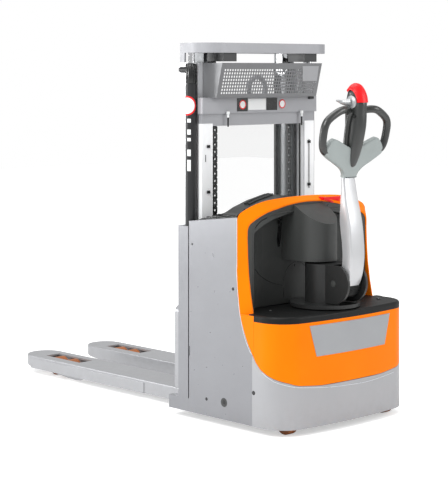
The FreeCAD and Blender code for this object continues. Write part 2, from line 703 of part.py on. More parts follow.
def rear_edge_y(z):
    """Where the side panel's rear edge lies at a height."""
    line = panel_rear_line + [(panel_rear_y, panel_top_rear)]
    for (y0, z0), (y1, z1) in zip(line, line[1:]):
        if z0 <= z <= z1:
            return y0 + (y1 - y0) * (z - z0) / (z1 - z0)
    return panel_rear_y


def column_section(z, inner_y):
    """The column's plan at a height: bevel outside, straight against the recess."""
    outer_y = rear_edge_y(z) - 0.6
    inner_x = arch_inner_half
    corners = [V(half_width, outer_y, z), V(inner_x, inner_y, z), V(inner_x - arch_back, inner_y, z),
               V(inner_x - arch_back, outer_y, z)]
    return Part.makePolygon(corners + corners[:1])


column = Part.makeLoft([column_section(z, y) for z, _, y in column_rows], True, True)
strip_line = [(y - 0.6, z) for y, z in panel_rear_line if z < shelf_top - 8.0]
strip_top = shelf_top - shelf_wall
strip = prism(
    strip_line[1:] + [(rear_edge_y(strip_top) - 0.6, strip_top + 1), (cover_seam_y, strip_top + 1),
                      (cover_seam_y, bumper_line[-2][1] + 22.0)],
    "yz", half_width - 4.0, half_width,
)
strip_foot = box(arch_inner_half - arch_back, half_width - 1.0, column_foot_y, rear_edge_y(strip_top - 4.0) - 0.6,
                 strip_top - 4.0, strip_top + 1)
side_part = joined([column, strip, strip_foot])
band.translate(V(0, -0.6, 0))
pieces["arch_frame"] = joined([band, side_part, mirrored(side_part)])

bay_low = shelf_top
bay_half = arch_inner_half - arch_back - 0.5
bay_crown = arch_inner_crown - arch_back - 0.5
bay_shoulder = arch_inner_shoulder - arch_back
bay_front = -440.0
wall_y = -490.0
rim = 34.0


def bay_block(inset, y0, y1, low=bay_low):
    """The recess's outline inside the arch, drawn in by inset, from y0 to y1."""
    return arch_block(bay_half - inset, bay_shoulder - inset, bay_crown - inset, y0, y1, low, arch_inner_fall)


def bay_solid(back):
    """Everything in front of the recess wall, set forward by back."""
    wide = bay_half - rim
    left = V(-wide, arch_rear_y + 8.0 + back, bay_low)
    deep = V(-210.0, wall_y + 14.0 + back, bay_low)
    run = [
        (left, V(-wide + 45.0, -502.0 + back, bay_low), deep), (deep, V(210.0, deep.y, bay_low)),
        (V(210.0, deep.y, bay_low), V(wide - 45.0, -502.0 + back, bay_low), V(wide, left.y, bay_low)),
        (V(wide, left.y, bay_low), V(wide, bay_front, bay_low)), (V(wide, bay_front, bay_low), V(-wide, bay_front, bay_low)),
        (V(-wide, bay_front, bay_low), left),
    ]
    return curve_face(run, V(0, 0, bay_crown - bay_low))


def column_block(inset):
    """The half-round column over the tiller housing, drawn in by inset, with its sloping top."""
    r = column_r - inset
    y = column_y
    z = column_low + inset
    run = [(V(-r, y, z), V(0, y - r, z), V(r, y, z)), (V(r, y, z), V(r, wall_y + 16.0, z)),
           (V(r, wall_y + 16.0, z), V(-r, wall_y + 16.0, z)), (V(-r, wall_y + 16.0, z), V(-r, y, z))]
    block = curve_face(run, V(0, 0, arch_crown - z))
    slope_y = arch_rear_y - 2.0
    rear = column_y - column_r
    high = bay_crown - 10.0
    slope = (high - column_top_rear) / (slope_y - rear)
    top = prism(
        [(rear - 20.0, column_top_rear - 20.0 * slope - inset), (slope_y, high - inset), (wall_y + 20.0, high - inset),
         (wall_y + 20.0, 1200.0), (rear - 20.0, 1200.0)],
        "yz", -200.0, 200.0,
    )
    return block.cut(top)


under_lid = joined([bay_block(0, -600.0, lid_rear_y - 2.0), bay_block(9.0, lid_rear_y - 3.0, -400.0)])
wall = bay_solid(0).cut(bay_solid(moulding)).common(under_lid)
brow = bay_block(0, arch_rear_y + 3.0, arch_rear_y + 7.0).cut(
    bay_block(rim, arch_rear_y, arch_front_y, bay_low - 1))
skirt = bay_block(rim - 6.0, arch_rear_y + 6.0, wall_y + 12.0).cut(bay_block(rim - 2.0, arch_rear_y, wall_y + 13.0, bay_low - 1))
skirt = skirt.common(box(-bay_half, bay_half, -600.0, -400.0, 760.0, 1000.0))
column_shell = column_block(0).cut(column_block(moulding))
column_shell = column_shell.cut(bay_solid(moulding))
pieces["tiller_bay"] = joined([wall, brow, skirt, column_shell])

lid = arch_block(half_width - 4.0, arch_shoulder - 4.0, lid_crown, lid_rear_y, lid_front_y, panel_top_front - 20.0)
lid_inside = arch_block(half_width - 8.0, arch_shoulder - 8.0, lid_crown - 4.0, lid_rear_y - 1, lid_front_y - 4.0,
                        panel_top_front - 30.0)
below_lid = prism(
    [(panel_front_y, panel_top_front + seat), (panel_rear_y, panel_top_rear + seat), (panel_rear_y - 1, 700.0),
     (panel_front_y, 700.0)],
    "yz", -half_width, half_width,
)
pieces["battery_cover"] = lid.cut([lid_inside, below_lid])

handle_z = arch_crown - arch_fall - 6.0
handle = joined([
    box(72.0, 205.0, arch_rear_y - 22.0, arch_rear_y - 12.0, handle_z - 8.0, handle_z + 4.0),
    box(78.0, 90.0, arch_rear_y - 14.0, arch_rear_y + 5.0, handle_z - 8.0, handle_z + 2.0),
    box(187.0, 199.0, arch_rear_y - 14.0, arch_rear_y + 5.0, handle_z - 8.0, handle_z + 2.0),
])
seat_on = pieces["arch_frame"].copy()
seat_on.translate(V(0, -seat, 0))
pieces["red_handle"] = handle.cut(seat_on)

# Steering unit: drive motor and gearbox below, disc and shroud above
unit = [rod(motor_r, (0, steer_y, turntable_z - 6.0), (0, steer_y, 440.0))]
unit.append(rod(motor_r + 32.0, (0, steer_y, turntable_z + 12.0 + seat), (0, steer_y, turntable_z + 26.0)))
unit.append(rod(50.0, (0, steer_y, 440.0), (0, steer_y, disc_low - seat)))
gear_x0 = drive_width / 2 + 6.0
unit.append(box(gear_x0, gear_x0 + 50.0, steer_y - 55.0, steer_y + 55.0, 60.0, turntable_z))
unit.append(box(-60.0, gear_x0 + 50.0, steer_y - 50.0, steer_y + 50.0, 2 * drive_r + 6.0, turntable_z - running))
unit.append(rod(24.0, (-drive_width / 2 + 10.0, steer_y, drive_r), (gear_x0 + 10.0, steer_y, drive_r)))
pieces["drive_unit"] = joined(unit)

tyre = rod(drive_r, (-drive_width / 2, steer_y, drive_r), (drive_width / 2, steer_y, drive_r))
tyre = bevelled(tyre, 5.0, lambda e: spans(e).XLength < 0.1)
tyre = tyre.cut(rod(24.05, (-100, steer_y, drive_r), (100, steer_y, drive_r)))
dish = rod(85.0, (-drive_width / 2 - 1, steer_y, drive_r), (-drive_width / 2 + 20.0, steer_y, drive_r))
dish = dish.cut(rod(40.0, (-100, steer_y, drive_r), (100, steer_y, drive_r)))
pieces["drive_wheel"] = tyre.cut(dish)

base = [rod(disc_r, (0, steer_y, disc_low), (0, steer_y, disc_high))]
base.append(rod(shroud_r, (0, steer_y, disc_high - 1), (0, steer_y, shroud_top)))
seam_y = steer_y - sqrt(shroud_r ** 2 - cheek_x1 ** 2)
for x in (-cheek_x1, cheek_x0):
    far = x + cheek_x1 - cheek_x0
    cheek = joined([
        rod(cheek_r, (x, tilt_y, tilt_z), (far, tilt_y, tilt_z)),
        box(x, far, tilt_y, seam_y + 6.0, tilt_z - cheek_r, min(tilt_z + cheek_r, shroud_top)),
    ])
    base.append(cheek.common(box(-200.0, 200.0, -1000.0, steer_y, disc_high - 1, shroud_top)))
housing = joined(base)
housing = housing.cut(rod(socket_r, (-cheek_x0, tilt_y, tilt_z), (cheek_x0, tilt_y, tilt_z)))
housing = housing.cut(box(-cheek_x0, cheek_x0, -900.0, tilt_y + 20.0, tilt_z, 700.0))
housing = housing.cut(rod(pivot_r + 0.05, (-100, tilt_y, tilt_z), (100, tilt_y, tilt_z)))
pieces["tiller_base"] = housing

# Tiller: heights of the arm's sections with (z, half width, front y, rear y)
arm_sections = [
    (572.0, 34.0, tilt_y + 4.0, -800.0),
    (622.0, 40.0, tilt_y - 18.0, -822.0),
    (700.0, 43.5, -780.0, -833.0),
    (770.0, 43.0, -776.0, -832.0),
    (860.0, 42.5, -764.0, -821.0),
    (950.0, 40.5, -766.0, -800.0),
    (1040.0, 36.0, -766.0, -786.0),
]


def section(z, half, y_front, y_rear):
    """One rounded section of the arm."""
    r = 7.0
    mid = (y_front + y_rear) / 2
    k = r * (1 - cos(pi / 4))
    p = [
        V(-half, y_rear + r, z), V(-half + k, y_rear + k, z), V(-half + r, y_rear, z),
        V(half - r, y_rear, z), V(half - k, y_rear + k, z), V(half, y_rear + r, z),
        V(half, mid, z), V(half - r, y_front, z), V(-half + r, y_front, z), V(-half, mid, z),
    ]
    edges = [Part.Arc(p[0], p[1], p[2]), Part.LineSegment(p[2], p[3]), Part.Arc(p[3], p[4], p[5]),
             Part.LineSegment(p[5], p[6]), Part.LineSegment(p[6], p[7]), Part.LineSegment(p[7], p[8]),
             Part.LineSegment(p[8], p[9]), Part.LineSegment(p[9], p[0])]
    return Part.Wire([e.toShape() for e in edges])


arm = Part.makeLoft([section(*row) for row in arm_sections], True, True)
knuckle = rod(40.0, (-34.0, tilt_y, tilt_z), (34.0, tilt_y, tilt_z))
pivot = rod(14.0, (-cheek_x1, tilt_y, tilt_z), (cheek_x1, tilt_y, tilt_z))
pieces["tiller_arm"] = joined([arm, knuckle, pivot])

def leaned(shape, y, z, angle):
    """The piece tipped back by an angle about a line across the machine."""
    shape.rotate(V(0, y, z), V(1, 0, 0), angle)
    return shape


# Right half of the yoke's outline: (x, z before it is tipped back)
yoke_half = [(38.0, yoke_low - 6.0), (48.0, 1056.0), (70.0, 1080.0), (127.0, 1116.0), (168.0, 1142.0), (178.0, 1160.0),
             (160.0, 1192.0), (130.0, 1210.0), (100.0, 1208.0), (60.0, 1186.0), (30.0, 1166.0)]
yoke = prism(yoke_half + [(-x, z) for x, z in reversed(yoke_half)], "xz", yoke_y - 15.0, yoke_y + 15.0)
yoke = leaned(yoke, yoke_y, yoke_low, yoke_lean)
yoke = yoke.common(box(-half_width, half_width, yoke_y - half_width, yoke_y + half_width, yoke_low, yoke_low + half_width))

# Core of the head, upright before it is tipped back: z, half width, front y and rear y from its middle
core_sections = [(core_low + 2.0, 12.0, 10.0, -10.0), (core_low + 30.0, 25.0, 20.0, -22.0), (1170.0, 31.0, 27.0, -29.0),
                 (1290.0, 32.0, 30.0, -32.0), (1360.0, 30.0, 34.0, -36.0), (hood_z + 20.0, 28.0, 34.0, -36.0)]


# Corners of the grip's centre line: (x, z before it is tipped back)
loop_points = [(148.0, 1153.0), (186.0, 1168.0), (196.0, 1274.0), (166.0, 1314.0), (104.0, 1336.0), (26.0, 1336.0)]


def loop_tube(points, radius, y):
    """A grip tube in the plane y, through corner points that are rounded by arcs."""
    p = [V(x, y, z) for x, z in points]
    edges = []
    last = p[0]
    for i in range(1, len(p) - 1):
        before = p[i] - p[i - 1]
        after = p[i + 1] - p[i]
        turn = before.getAngle(after)
        reach = 0.42 * min(before.Length, after.Length)
        before.normalize()
        after.normalize()
        enter = p[i] - before * reach
        leave = p[i] + after * reach
        bend_r = reach / sin(turn / 2) * cos(turn / 2)
        inward = (after - before)
        inward.normalize()
        centre = p[i] + inward * (bend_r / cos(turn / 2))
        middle = centre - inward * bend_r
        edges.append(Part.LineSegment(last, enter).toShape())
        edges.append(Part.Arc(enter, middle, leave).toShape())
        last = leave
    edges.append(Part.LineSegment(last, p[-1]).toShape())
    path = Part.Wire(edges)
    start = p[1] - p[0]
    ring = Part.Wire([Part.Circle(p[0], start, radius).toShape()])
    return path.makePipeShell([ring], True, True)


core = Part.makeLoft([section(z, half, core_y + front, core_y + rear) for z, half, front, rear in core_sections], True, True)
hood_slope = 0.36
above_slope = prism(
    [(core_y - 60.0, hood_z - 60.0 * hood_slope), (core_y + 60.0, hood_z + 60.0 * hood_slope), (core_y + 60.0, 1600.0),
     (core_y - 60.0, 1600.0)],
    "yz", -100.0, 100.0,
)
hood = rod(hood_r, (-hood_half, core_y, hood_z), (hood_half, core_y, hood_z))
hood = bevelled(hood, 6.0, lambda e: spans(e).XLength < 0.1 and spans(e).YLength > hood_r).common(above_slope)
above_slope.translate(V(0, 0, -seat))
core = leaned(core.cut(above_slope), core_y, core_low, core_lean)
pieces["stop_button"] = leaned(hood, core_y, core_low, core_lean)

grip = leaned(loop_tube(loop_points, grip_r, yoke_y), yoke_y, yoke_low, yoke_lean)
pieces["tiller_yoke"] = yoke.cut([grip, mirrored(grip), core])
pieces["tiller_head"] = joined([core, grip, mirrored(grip)])

hub_y = core_y + 16.0
hub_z = hood_z - 19.0
hub = rod(18.0, (30.45, hub_y, hub_z), (40.0, hub_y, hub_z))
wing_piece = prism([(36.0, hub_z - 8.0), (54.0, hub_z - 4.0), (74.0, hub_z + 14.0), (70.0, hub_z + 18.0), (50.0, hub_z + 10.0),
                    (36.0, hub_z + 10.0)], "xz", hub_y + 2.0, hub_y + 20.0)
pieces["tiller_rocker"] = both_sides(leaned(joined([hub, wing_piece]), core_y, core_low, core_lean))

# Castors
for hand, name in ((-1, "left"), (1, "right")):
    x = hand * castor_x
    wheel_y = castor_y - castor_trail
    top = deck_z - 6.0 - seat
    prongs = []
    for side_x in (-1, 1):
        near = side_x * (castor_width / 2 + 4.0)
        prongs.append(prism(
            [(castor_y + 30.0, top - 6.0), (castor_y + 30.0, top - 16.0), (wheel_y + 14.0, castor_r - 10.0),
             (wheel_y - 14.0, castor_r - 10.0), (wheel_y - 16.0, castor_r + 10.0), (castor_y - 34.0, top - 6.0)],
            "yz", x + min(near, near + side_x * 5.0), x + max(near, near + side_x * 5.0),
        ))
    plate = rod(32.0, (x, castor_y, top - 12.0), (x, castor_y, top))
    bridge = box(x - castor_width / 2 - 9.0, x + castor_width / 2 + 9.0, castor_y - 30.0, castor_y + 30.0, top - 12.0, top - 6.0)
    axle = rod(6.0, (x - castor_width / 2 - 8.0, wheel_y, castor_r), (x + castor_width / 2 + 8.0, wheel_y, castor_r))
    pieces["castor_fork_" + name] = joined([plate, bridge, axle] + prongs)
    wheel = roller(castor_r, castor_width, 6.05, castor_r - 14.0)
    wheel.translate(V(x, wheel_y, castor_r))
    pieces["castor_wheel_" + name] = wheel

# Into the machine's own frame, one file for each piece
to_middle = V(0, -(fork_length - rear_reach) / 2, 0)
for name, shape in pieces.items():
    shape.translate(to_middle)
    solids = shape.Solids
    if not shape.isValid():
        print("not valid:", name)
    whole = solids[0] if len(solids) == 1 else Part.makeCompound(solids)
    whole.exportStep("parts/%s.step" % name)
    b = whole.BoundBox
    print("%-24s %d  x %7.1f %7.1f  y %7.1f %7.1f  z %7.1f %7.1f  vol %.4f m3" % (
        name, len(solids), b.XMin, b.XMax, b.YMin, b.YMax, b.ZMin, b.ZMax, sum(s.Volume for s in solids) / 1e9))
print(len(pieces), "pieces")
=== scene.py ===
"""Looks of the pallet stacker: camera, light, finishes and the fine pieces over the CAD frame.

Shapes are worked out in millimetres, +X to the right, +Y towards the fork tips, +Z up, with Y
from the front face of the fork heels, and are written in metres in the row's own frame.
"""
import json
from math import cos, pi, radians, sin

import bmesh
import bpy
import numpy as np
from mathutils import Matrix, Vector
from mathutils.bvhtree import BVHTree


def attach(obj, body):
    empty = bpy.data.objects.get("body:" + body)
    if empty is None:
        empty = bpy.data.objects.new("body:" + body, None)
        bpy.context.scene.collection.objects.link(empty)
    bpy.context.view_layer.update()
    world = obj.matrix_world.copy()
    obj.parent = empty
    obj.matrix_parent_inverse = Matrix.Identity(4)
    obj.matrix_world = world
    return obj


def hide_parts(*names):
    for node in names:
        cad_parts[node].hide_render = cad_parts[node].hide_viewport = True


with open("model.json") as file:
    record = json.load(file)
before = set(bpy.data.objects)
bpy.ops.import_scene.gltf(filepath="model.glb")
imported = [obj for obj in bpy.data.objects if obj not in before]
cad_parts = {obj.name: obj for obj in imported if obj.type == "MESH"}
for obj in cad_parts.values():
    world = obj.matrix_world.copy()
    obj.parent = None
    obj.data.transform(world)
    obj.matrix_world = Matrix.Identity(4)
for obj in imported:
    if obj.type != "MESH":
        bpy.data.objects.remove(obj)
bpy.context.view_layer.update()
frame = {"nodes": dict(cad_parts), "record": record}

# Y of the fork heels' front face in the row's own frame, in millimetres
HEEL = -132.5


# Shader helpers
class Sock:
    """A shader socket with arithmetic, so that a finish reads as a formula."""

    def __init__(self, nodes, socket):
        self.nodes, self.socket = nodes, socket

    def math(self, operation, other=0.0):
        """One Math node on this value and a number or another socket."""
        return self.nodes.node("Math", {"operation": operation}, {"Value": self, "Value_001": other})

    def __add__(self, other):
        return self.math("ADD", other)

    def __mul__(self, other):
        return self.math("MULTIPLY", other)

    __radd__ = __add__
    __rmul__ = __mul__

    def climb(self, a, b):
        """0 at a and 1 at b, straight between them and level beyond."""
        return self.nodes.node("MapRange", {}, {"Value": self, "From Min": a, "From Max": b})


class Nodes:
    """A node tree, whose nodes all come from one method."""

    def __init__(self, tree):
        self.tree = tree

    def plug(self, port, value):
        """A socket is linked, a colour triple gets its alpha, and a number goes in as it is."""
        if isinstance(value, Sock):
            self.tree.links.new(value.socket, port)
        elif isinstance(value, tuple):
            port.default_value = (*value, 1.0)
        else:
            port.default_value = value

    def node(self, kind, settings, values, result=None):
        """A node with its settings, then its sockets' values or links by identifier; gives one output."""
        node = self.tree.nodes.new("ShaderNode" + kind)
        for name, value in settings.items():
            setattr(node, name, value)
        ports = {port.identifier: port for port in node.inputs}
        for name, value in values.items():
            self.plug(ports[name], value)
        results = {port.identifier: port for port in node.outputs}
        return Sock(self, results[result] if result else node.outputs[0])


class Shader(Nodes):
    """One node material: a principled finish and the maps that feed it."""

    def __init__(self, name):
        self.material = bpy.data.materials.new(name)
        self.material.use_nodes = True
        super().__init__(self.material.node_tree)
        self.base = self.tree.nodes["Principled BSDF"]
        self.place = self.node("TexCoord", {}, {}, "Object")

    def along(self, axis):
        """The object's own X, Y or Z in metres."""
        return self.node("SeparateXYZ", {}, {"Vector": self.place}, axis)

    def noise(self, scale, detail=3.0):
        """Soft random patches; scale is how many there are in a metre."""
        return self.node("TexNoise", {}, {"Vector": self.place, "Scale": scale, "Detail": detail})

    def mix(self, share, a, b):
        """a where share is 0 and b where it is 1. Colours are triples or sockets."""
        return self.node("Mix", {"data_type": "RGBA"}, {"Factor_Float": share, "A_Color": a, "B_Color": b},
                         "Result_Color")

    def feed(self, port, value):
        """Gives one socket of the principled finish its value or link."""
        self.plug(self.base.inputs[port], value)

    def bump(self, height, distance):
        """Tilts the finish's normals by a height, whose depth is given in metres."""
        self.feed("Normal", self.node("Bump", {}, {"Height": height, "Distance": distance}))


def tone(*rgb):
    """A colour as it shows on screen, 0 to 255, as linear light."""
    c = np.array(rgb) / 255.0
    return tuple(np.where(c <= 0.04045, c / 12.92, ((c + 0.055) / 1.055) ** 2.4).tolist())


# Patches in a metre: of shade, of roughness and of dust. Dust fades out at a height in metres
SHADE_PATCHES, WORN_PATCHES, DUST_PATCHES = 7.0, 40.0, 30.0
DUST_TOP = 0.16
DUST_COLOUR = tone(120, 112, 104)
COAT_ROUGH = 0.12


def uneven(s):
    """0 to 1 in broad soft patches, for a shade that varies a little."""
    return s.noise(SHADE_PATCHES, 4.0).climb(0.3, 0.7)


def worn(s, rough):
    """Roughness that varies by 0.05 either way in small patches."""
    return s.noise(WORN_PATCHES).climb(0.2, 0.8) * 0.1 + (rough - 0.05)


def finish(name, colour, rough, metal=0.0, speck=0.03, grain=0.0, scale=900.0, coat=0.0, dust=0.0, sheen=0.5):
    """A painted, moulded or plated surface, slightly uneven, with grain and some dust low down."""
    s = Shader(name)
    colour = tone(*colour)
    shade = s.mix(uneven(s), tuple(c * (1.0 - 2 * speck) for c in colour),
                  tuple(min(1.0, c * (1.0 + speck)) for c in colour))
    if dust:
        dusty = s.along("Z").climb(DUST_TOP, 0.0) * s.noise(DUST_PATCHES).climb(0.35, 0.75) * dust
        shade = s.mix(dusty, shade, DUST_COLOUR)
    s.feed("Base Color", shade)
    s.feed("Metallic", metal)
    s.feed("Specular IOR Level", sheen)
    s.feed("Roughness", worn(s, rough))
    if grain:
        s.bump(s.noise(scale, 2.0), grain)
    if coat:
        s.feed("Coat Weight", coat)
        s.feed("Coat Roughness", COAT_ROUGH)
    return s.material


def clear(name):
    """Thin clear sheet that lets the view behind it through almost unchanged."""
    s = Shader(name)
    s.feed("Base Color", s.mix(s.noise(3.0).climb(0.3, 0.7), tone(158, 162, 162), tone(166, 170, 170)))
    s.feed("Roughness", 0.05)
    s.feed("Alpha", 0.07)
    return s.material


# In metres: half the space between the crossmembers' plates, their top, and half the soft border of the
# painted light on the plates
PLATES_APART, PLATES_TOP = 0.287, 1.26
LIGHT_BORDER_SIDE, LIGHT_BORDER_TOP = 0.0004, 0.002


def crossmember_paint_and_painted_light(name):
    """Silver of the mast's crossmembers; the plates beside the screen are lighter, partly their own finish
    and partly painted light.
    """
    s = Shader(name)
    beside = s.along("X").math("ABSOLUTE").climb(PLATES_APART - LIGHT_BORDER_SIDE, PLATES_APART + LIGHT_BORDER_SIDE)
    below = s.along("Z").climb(PLATES_TOP + LIGHT_BORDER_TOP, PLATES_TOP - LIGHT_BORDER_TOP)
    patches = uneven(s)
    # Painted light: the near-white colours lift the plates beside the screen above their own finish, against
    # the screen's shadow on them
    s.feed("Base Color", s.mix(beside * below, s.mix(patches, tone(154, 155, 159), tone(160, 161, 165)),
                               s.mix(patches, tone(246, 247, 249), tone(252, 253, 254))))
    s.feed("Metallic", 0.08)
    s.feed("Roughness", worn(s, 0.41))
    return s.material


# Colours are as seen on screen, 0 to 255, grain is a depth in metres, and scale is its patches in a metre
LOOKS = {
    "silver_paint": dict(colour=(167, 168, 171), rough=0.35, metal=0.42, speck=0.015, grain=0.00004,
                         dust=0.15),
    # Painted shade: a darker copy of silver_paint, so the side covers and the chassis frame come out darker
    # than the bumper and forks
    "panel_silver_shaded": dict(colour=(144, 145, 149), rough=0.31, metal=0.5, speck=0.015, grain=0.00004,
                         dust=0.1),
    "orange_panel": dict(colour=(255, 126, 0), rough=0.4, speck=0.02, grain=0.00004, sheen=0.08),
    "charcoal_plastic": dict(colour=(58, 60, 59), rough=0.52, grain=0.00009, dust=0.2),
    "dark_paint": dict(colour=(58, 59, 60), rough=0.45, metal=0.2, grain=0.00006, scale=600.0, dust=0.3),
    "black_tube": dict(colour=(34, 35, 37), rough=0.36, metal=0.05),
    "rod_chrome": dict(colour=(215, 216, 218), rough=0.1, metal=1.0, speck=0.01),
    "steel": dict(colour=(176, 177, 178), rough=0.34, metal=0.85, grain=0.00005, scale=300.0),
    "chain_steel": dict(colour=(30, 30, 31), rough=0.45, metal=0.4, speck=0.05, grain=0.00008,
                        scale=500.0),
    "roller_tyre": dict(colour=(158, 88, 34), rough=0.45, speck=0.05, grain=0.00006, scale=300.0,
                        dust=0.25),
    "drive_tyre": dict(colour=(30, 30, 31), rough=0.7, speck=0.06, grain=0.00012, scale=260.0, dust=0.4),
    "battery_case": dict(colour=(70, 72, 74), rough=0.5, metal=0.3, grain=0.00006),
    "red_plastic": dict(colour=(236, 18, 26), rough=0.36, speck=0.02, sheen=0.3),
    "arm_alloy": dict(colour=(202, 203, 205), rough=0.34, metal=0.45, speck=0.01, grain=0.00003,
                      scale=1200.0),
    "yoke_grey": dict(colour=(158, 166, 165), rough=0.5, speck=0.02, grain=0.00006, scale=1400.0),
    "hose_rubber": dict(colour=(34, 35, 36), rough=0.55, speck=0.04, grain=0.00010),
    "guard_grey": dict(colour=(126, 127, 129), rough=0.42, metal=0.35, speck=0.02, grain=0.00005,
                       scale=700.0),
    "drum_black": dict(colour=(36, 37, 37), rough=0.4, grain=0.00006, sheen=0.45),
    "rail_grey": dict(colour=(112, 114, 116), rough=0.36, metal=0.4, grain=0.00005, scale=700.0),
    "shelf_black": dict(colour=(13, 14, 14), rough=0.5, grain=0.00009, sheen=0.25),
    "gloss_black": dict(colour=(16, 17, 18), rough=0.25, speck=0.02, coat=0.2),
    "badge_silver": dict(colour=(158, 160, 163), rough=0.4, metal=0.3, speck=0.015, grain=0.00003),
    # Painted highlight: light colour for the lines along the side covers' rear edges and the bumper's top
    # edge
    "edge_highlight": dict(colour=(226, 232, 238), rough=0.3, metal=0.2, speck=0.01),
    "rocker_silver": dict(colour=(176, 178, 180), rough=0.36, metal=0.4, speck=0.02),
    "lid_black": dict(colour=(44, 46, 46), rough=0.4, grain=0.00008),
    "label_white": dict(colour=(236, 238, 238), rough=0.5, speck=0.01),
    "sign_red": dict(colour=(226, 34, 36), rough=0.45, speck=0.01, sheen=0.3),
    "head_black": dict(colour=(42, 44, 43), rough=0.32, grain=0.00006, sheen=0.75),
    "rail_silver": dict(colour=(216, 217, 220), rough=0.36, metal=0.25, speck=0.015, grain=0.00003,
                        dust=0.1),
}
FINISHES = {name: finish(name, **look) for name, look in LOOKS.items()}
FINISHES["clear_sheet"] = clear("clear_sheet")
FINISHES["cross_silver_painted_light"] = crossmember_paint_and_painted_light("cross_silver_painted_light")

# Nodes whose finish differs from that of their slot
OWN_FINISH = {"mesh_guard": "guard_grey", "shelf": "shelf_black", "badge_plate": "badge_silver",
              "tiller_base": "drum_black", "inner_rail_left": "rail_grey", "inner_rail_right": "rail_grey",
              "mast_crossmembers": "cross_silver_painted_light", "inner_crossmembers": "cross_silver_painted_light",
              "side_cover_left": "panel_silver_shaded", "side_cover_right": "panel_silver_shaded",
              "chassis_frame": "panel_silver_shaded", "outer_rail_left": "rail_silver",
              "outer_rail_right": "rail_silver"}


def dress(obj, material, smooth_under=35.0):
    """One material over the whole piece, smooth but for edges sharper than an angle in degrees."""
    obj.data.materials.clear()
    obj.data.materials.append(material)
    obj.data.polygons.foreach_set("use_smooth", [True] * len(obj.data.polygons))
    obj.data.set_sharp_from_angle(angle=radians(smooth_under))


SLOT_OF = {part["node"]: part["material_slot"] for part in frame["record"]["subparts"]}
for node, slot in SLOT_OF.items():
    dress(frame["nodes"][node], FINISHES[OWN_FINISH.get(node, slot)])


# Camera of the photograph, which the pixel places below also use, in metres and radians from +Y to +X
CAMERA = Vector((-4.9155, -5.3159, 1.4888))
HEADING = 0.761
LOOK = Vector((sin(HEADING), cos(HEADING), 0.0))

# In the photograph's pixels: the focal length, the longer side, and the pixel that the camera points at
FOCAL = 1568.6
FRAME_LONG = 480.0
LEVEL_PIXEL = (224.0, 70.5)
SENSOR = 36.0

scene = bpy.context.scene
camera = bpy.data.objects.new("camera", bpy.data.cameras.new("camera"))
scene.collection.objects.link(camera)
camera.data.sensor_fit = "AUTO"
camera.data.sensor_width = SENSOR
camera.data.lens = FOCAL / FRAME_LONG * SENSOR
camera.data.shift_y = (LEVEL_PIXEL[1] - FRAME_LONG / 2) / FRAME_LONG
camera.data.clip_end = 60.0
camera.location = CAMERA
camera.rotation_mode = "QUATERNION"
camera.rotation_quaternion = LOOK.to_track_quat("-Z", "Y")
scene.camera = camera
scene.view_settings.view_transform = "Standard"

# Search trees by carrier, and the normals that seen() met by carrier and pixel
TREES = {}
NORMALS = {}


def carrier_name(carrier):
    """Name of a node, which is given by its name, or of a piece made here."""
    return carrier if isinstance(carrier, str) else carrier.name


def sight_tree(carrier):
    """Search tree of the carrier's mesh, made once."""
    name = carrier_name(carrier)
    if name not in TREES:
        mesh = (frame["nodes"][carrier] if isinstance(carrier, str) else carrier).data
        TREES[name] = BVHTree.FromPolygons([v.co for v in mesh.vertices], [p.vertices for p in mesh.polygons])
    return TREES[name]


def seen(carrier, pixels, lift=0.0):
    """Places in millimetres where lines of sight through photo pixels meet a carrier, lifted off it."""
    tree = sight_tree(carrier)
    right = Vector((LOOK.y, -LOOK.x, 0.0))
    down = Vector((0.0, 0.0, -1.0))
    found = []
    for u, v in pixels:
        ray = LOOK + right * ((u - LEVEL_PIXEL[0]) / FOCAL) + down * ((v - LEVEL_PIXEL[1]) / FOCAL)
        hit, normal, _, _ = tree.ray_cast(CAMERA, ray)
        if hit is None:
            print("no", carrier_name(carrier), "at", u, v)
            continue
        normal = -normal if normal.dot(ray) > 0 else normal
        found.append(tuple((hit + normal * lift / 1000.0) * 1000.0))
        NORMALS[(carrier_name(carrier), u, v)] = normal
    return np.array(found) - (0.0, HEEL, 0.0)


def facing(carrier, u, v):
    """Outward normal where seen() last met the carrier at that pixel."""
    return tuple(NORMALS[(carrier_name(carrier), u, v)])


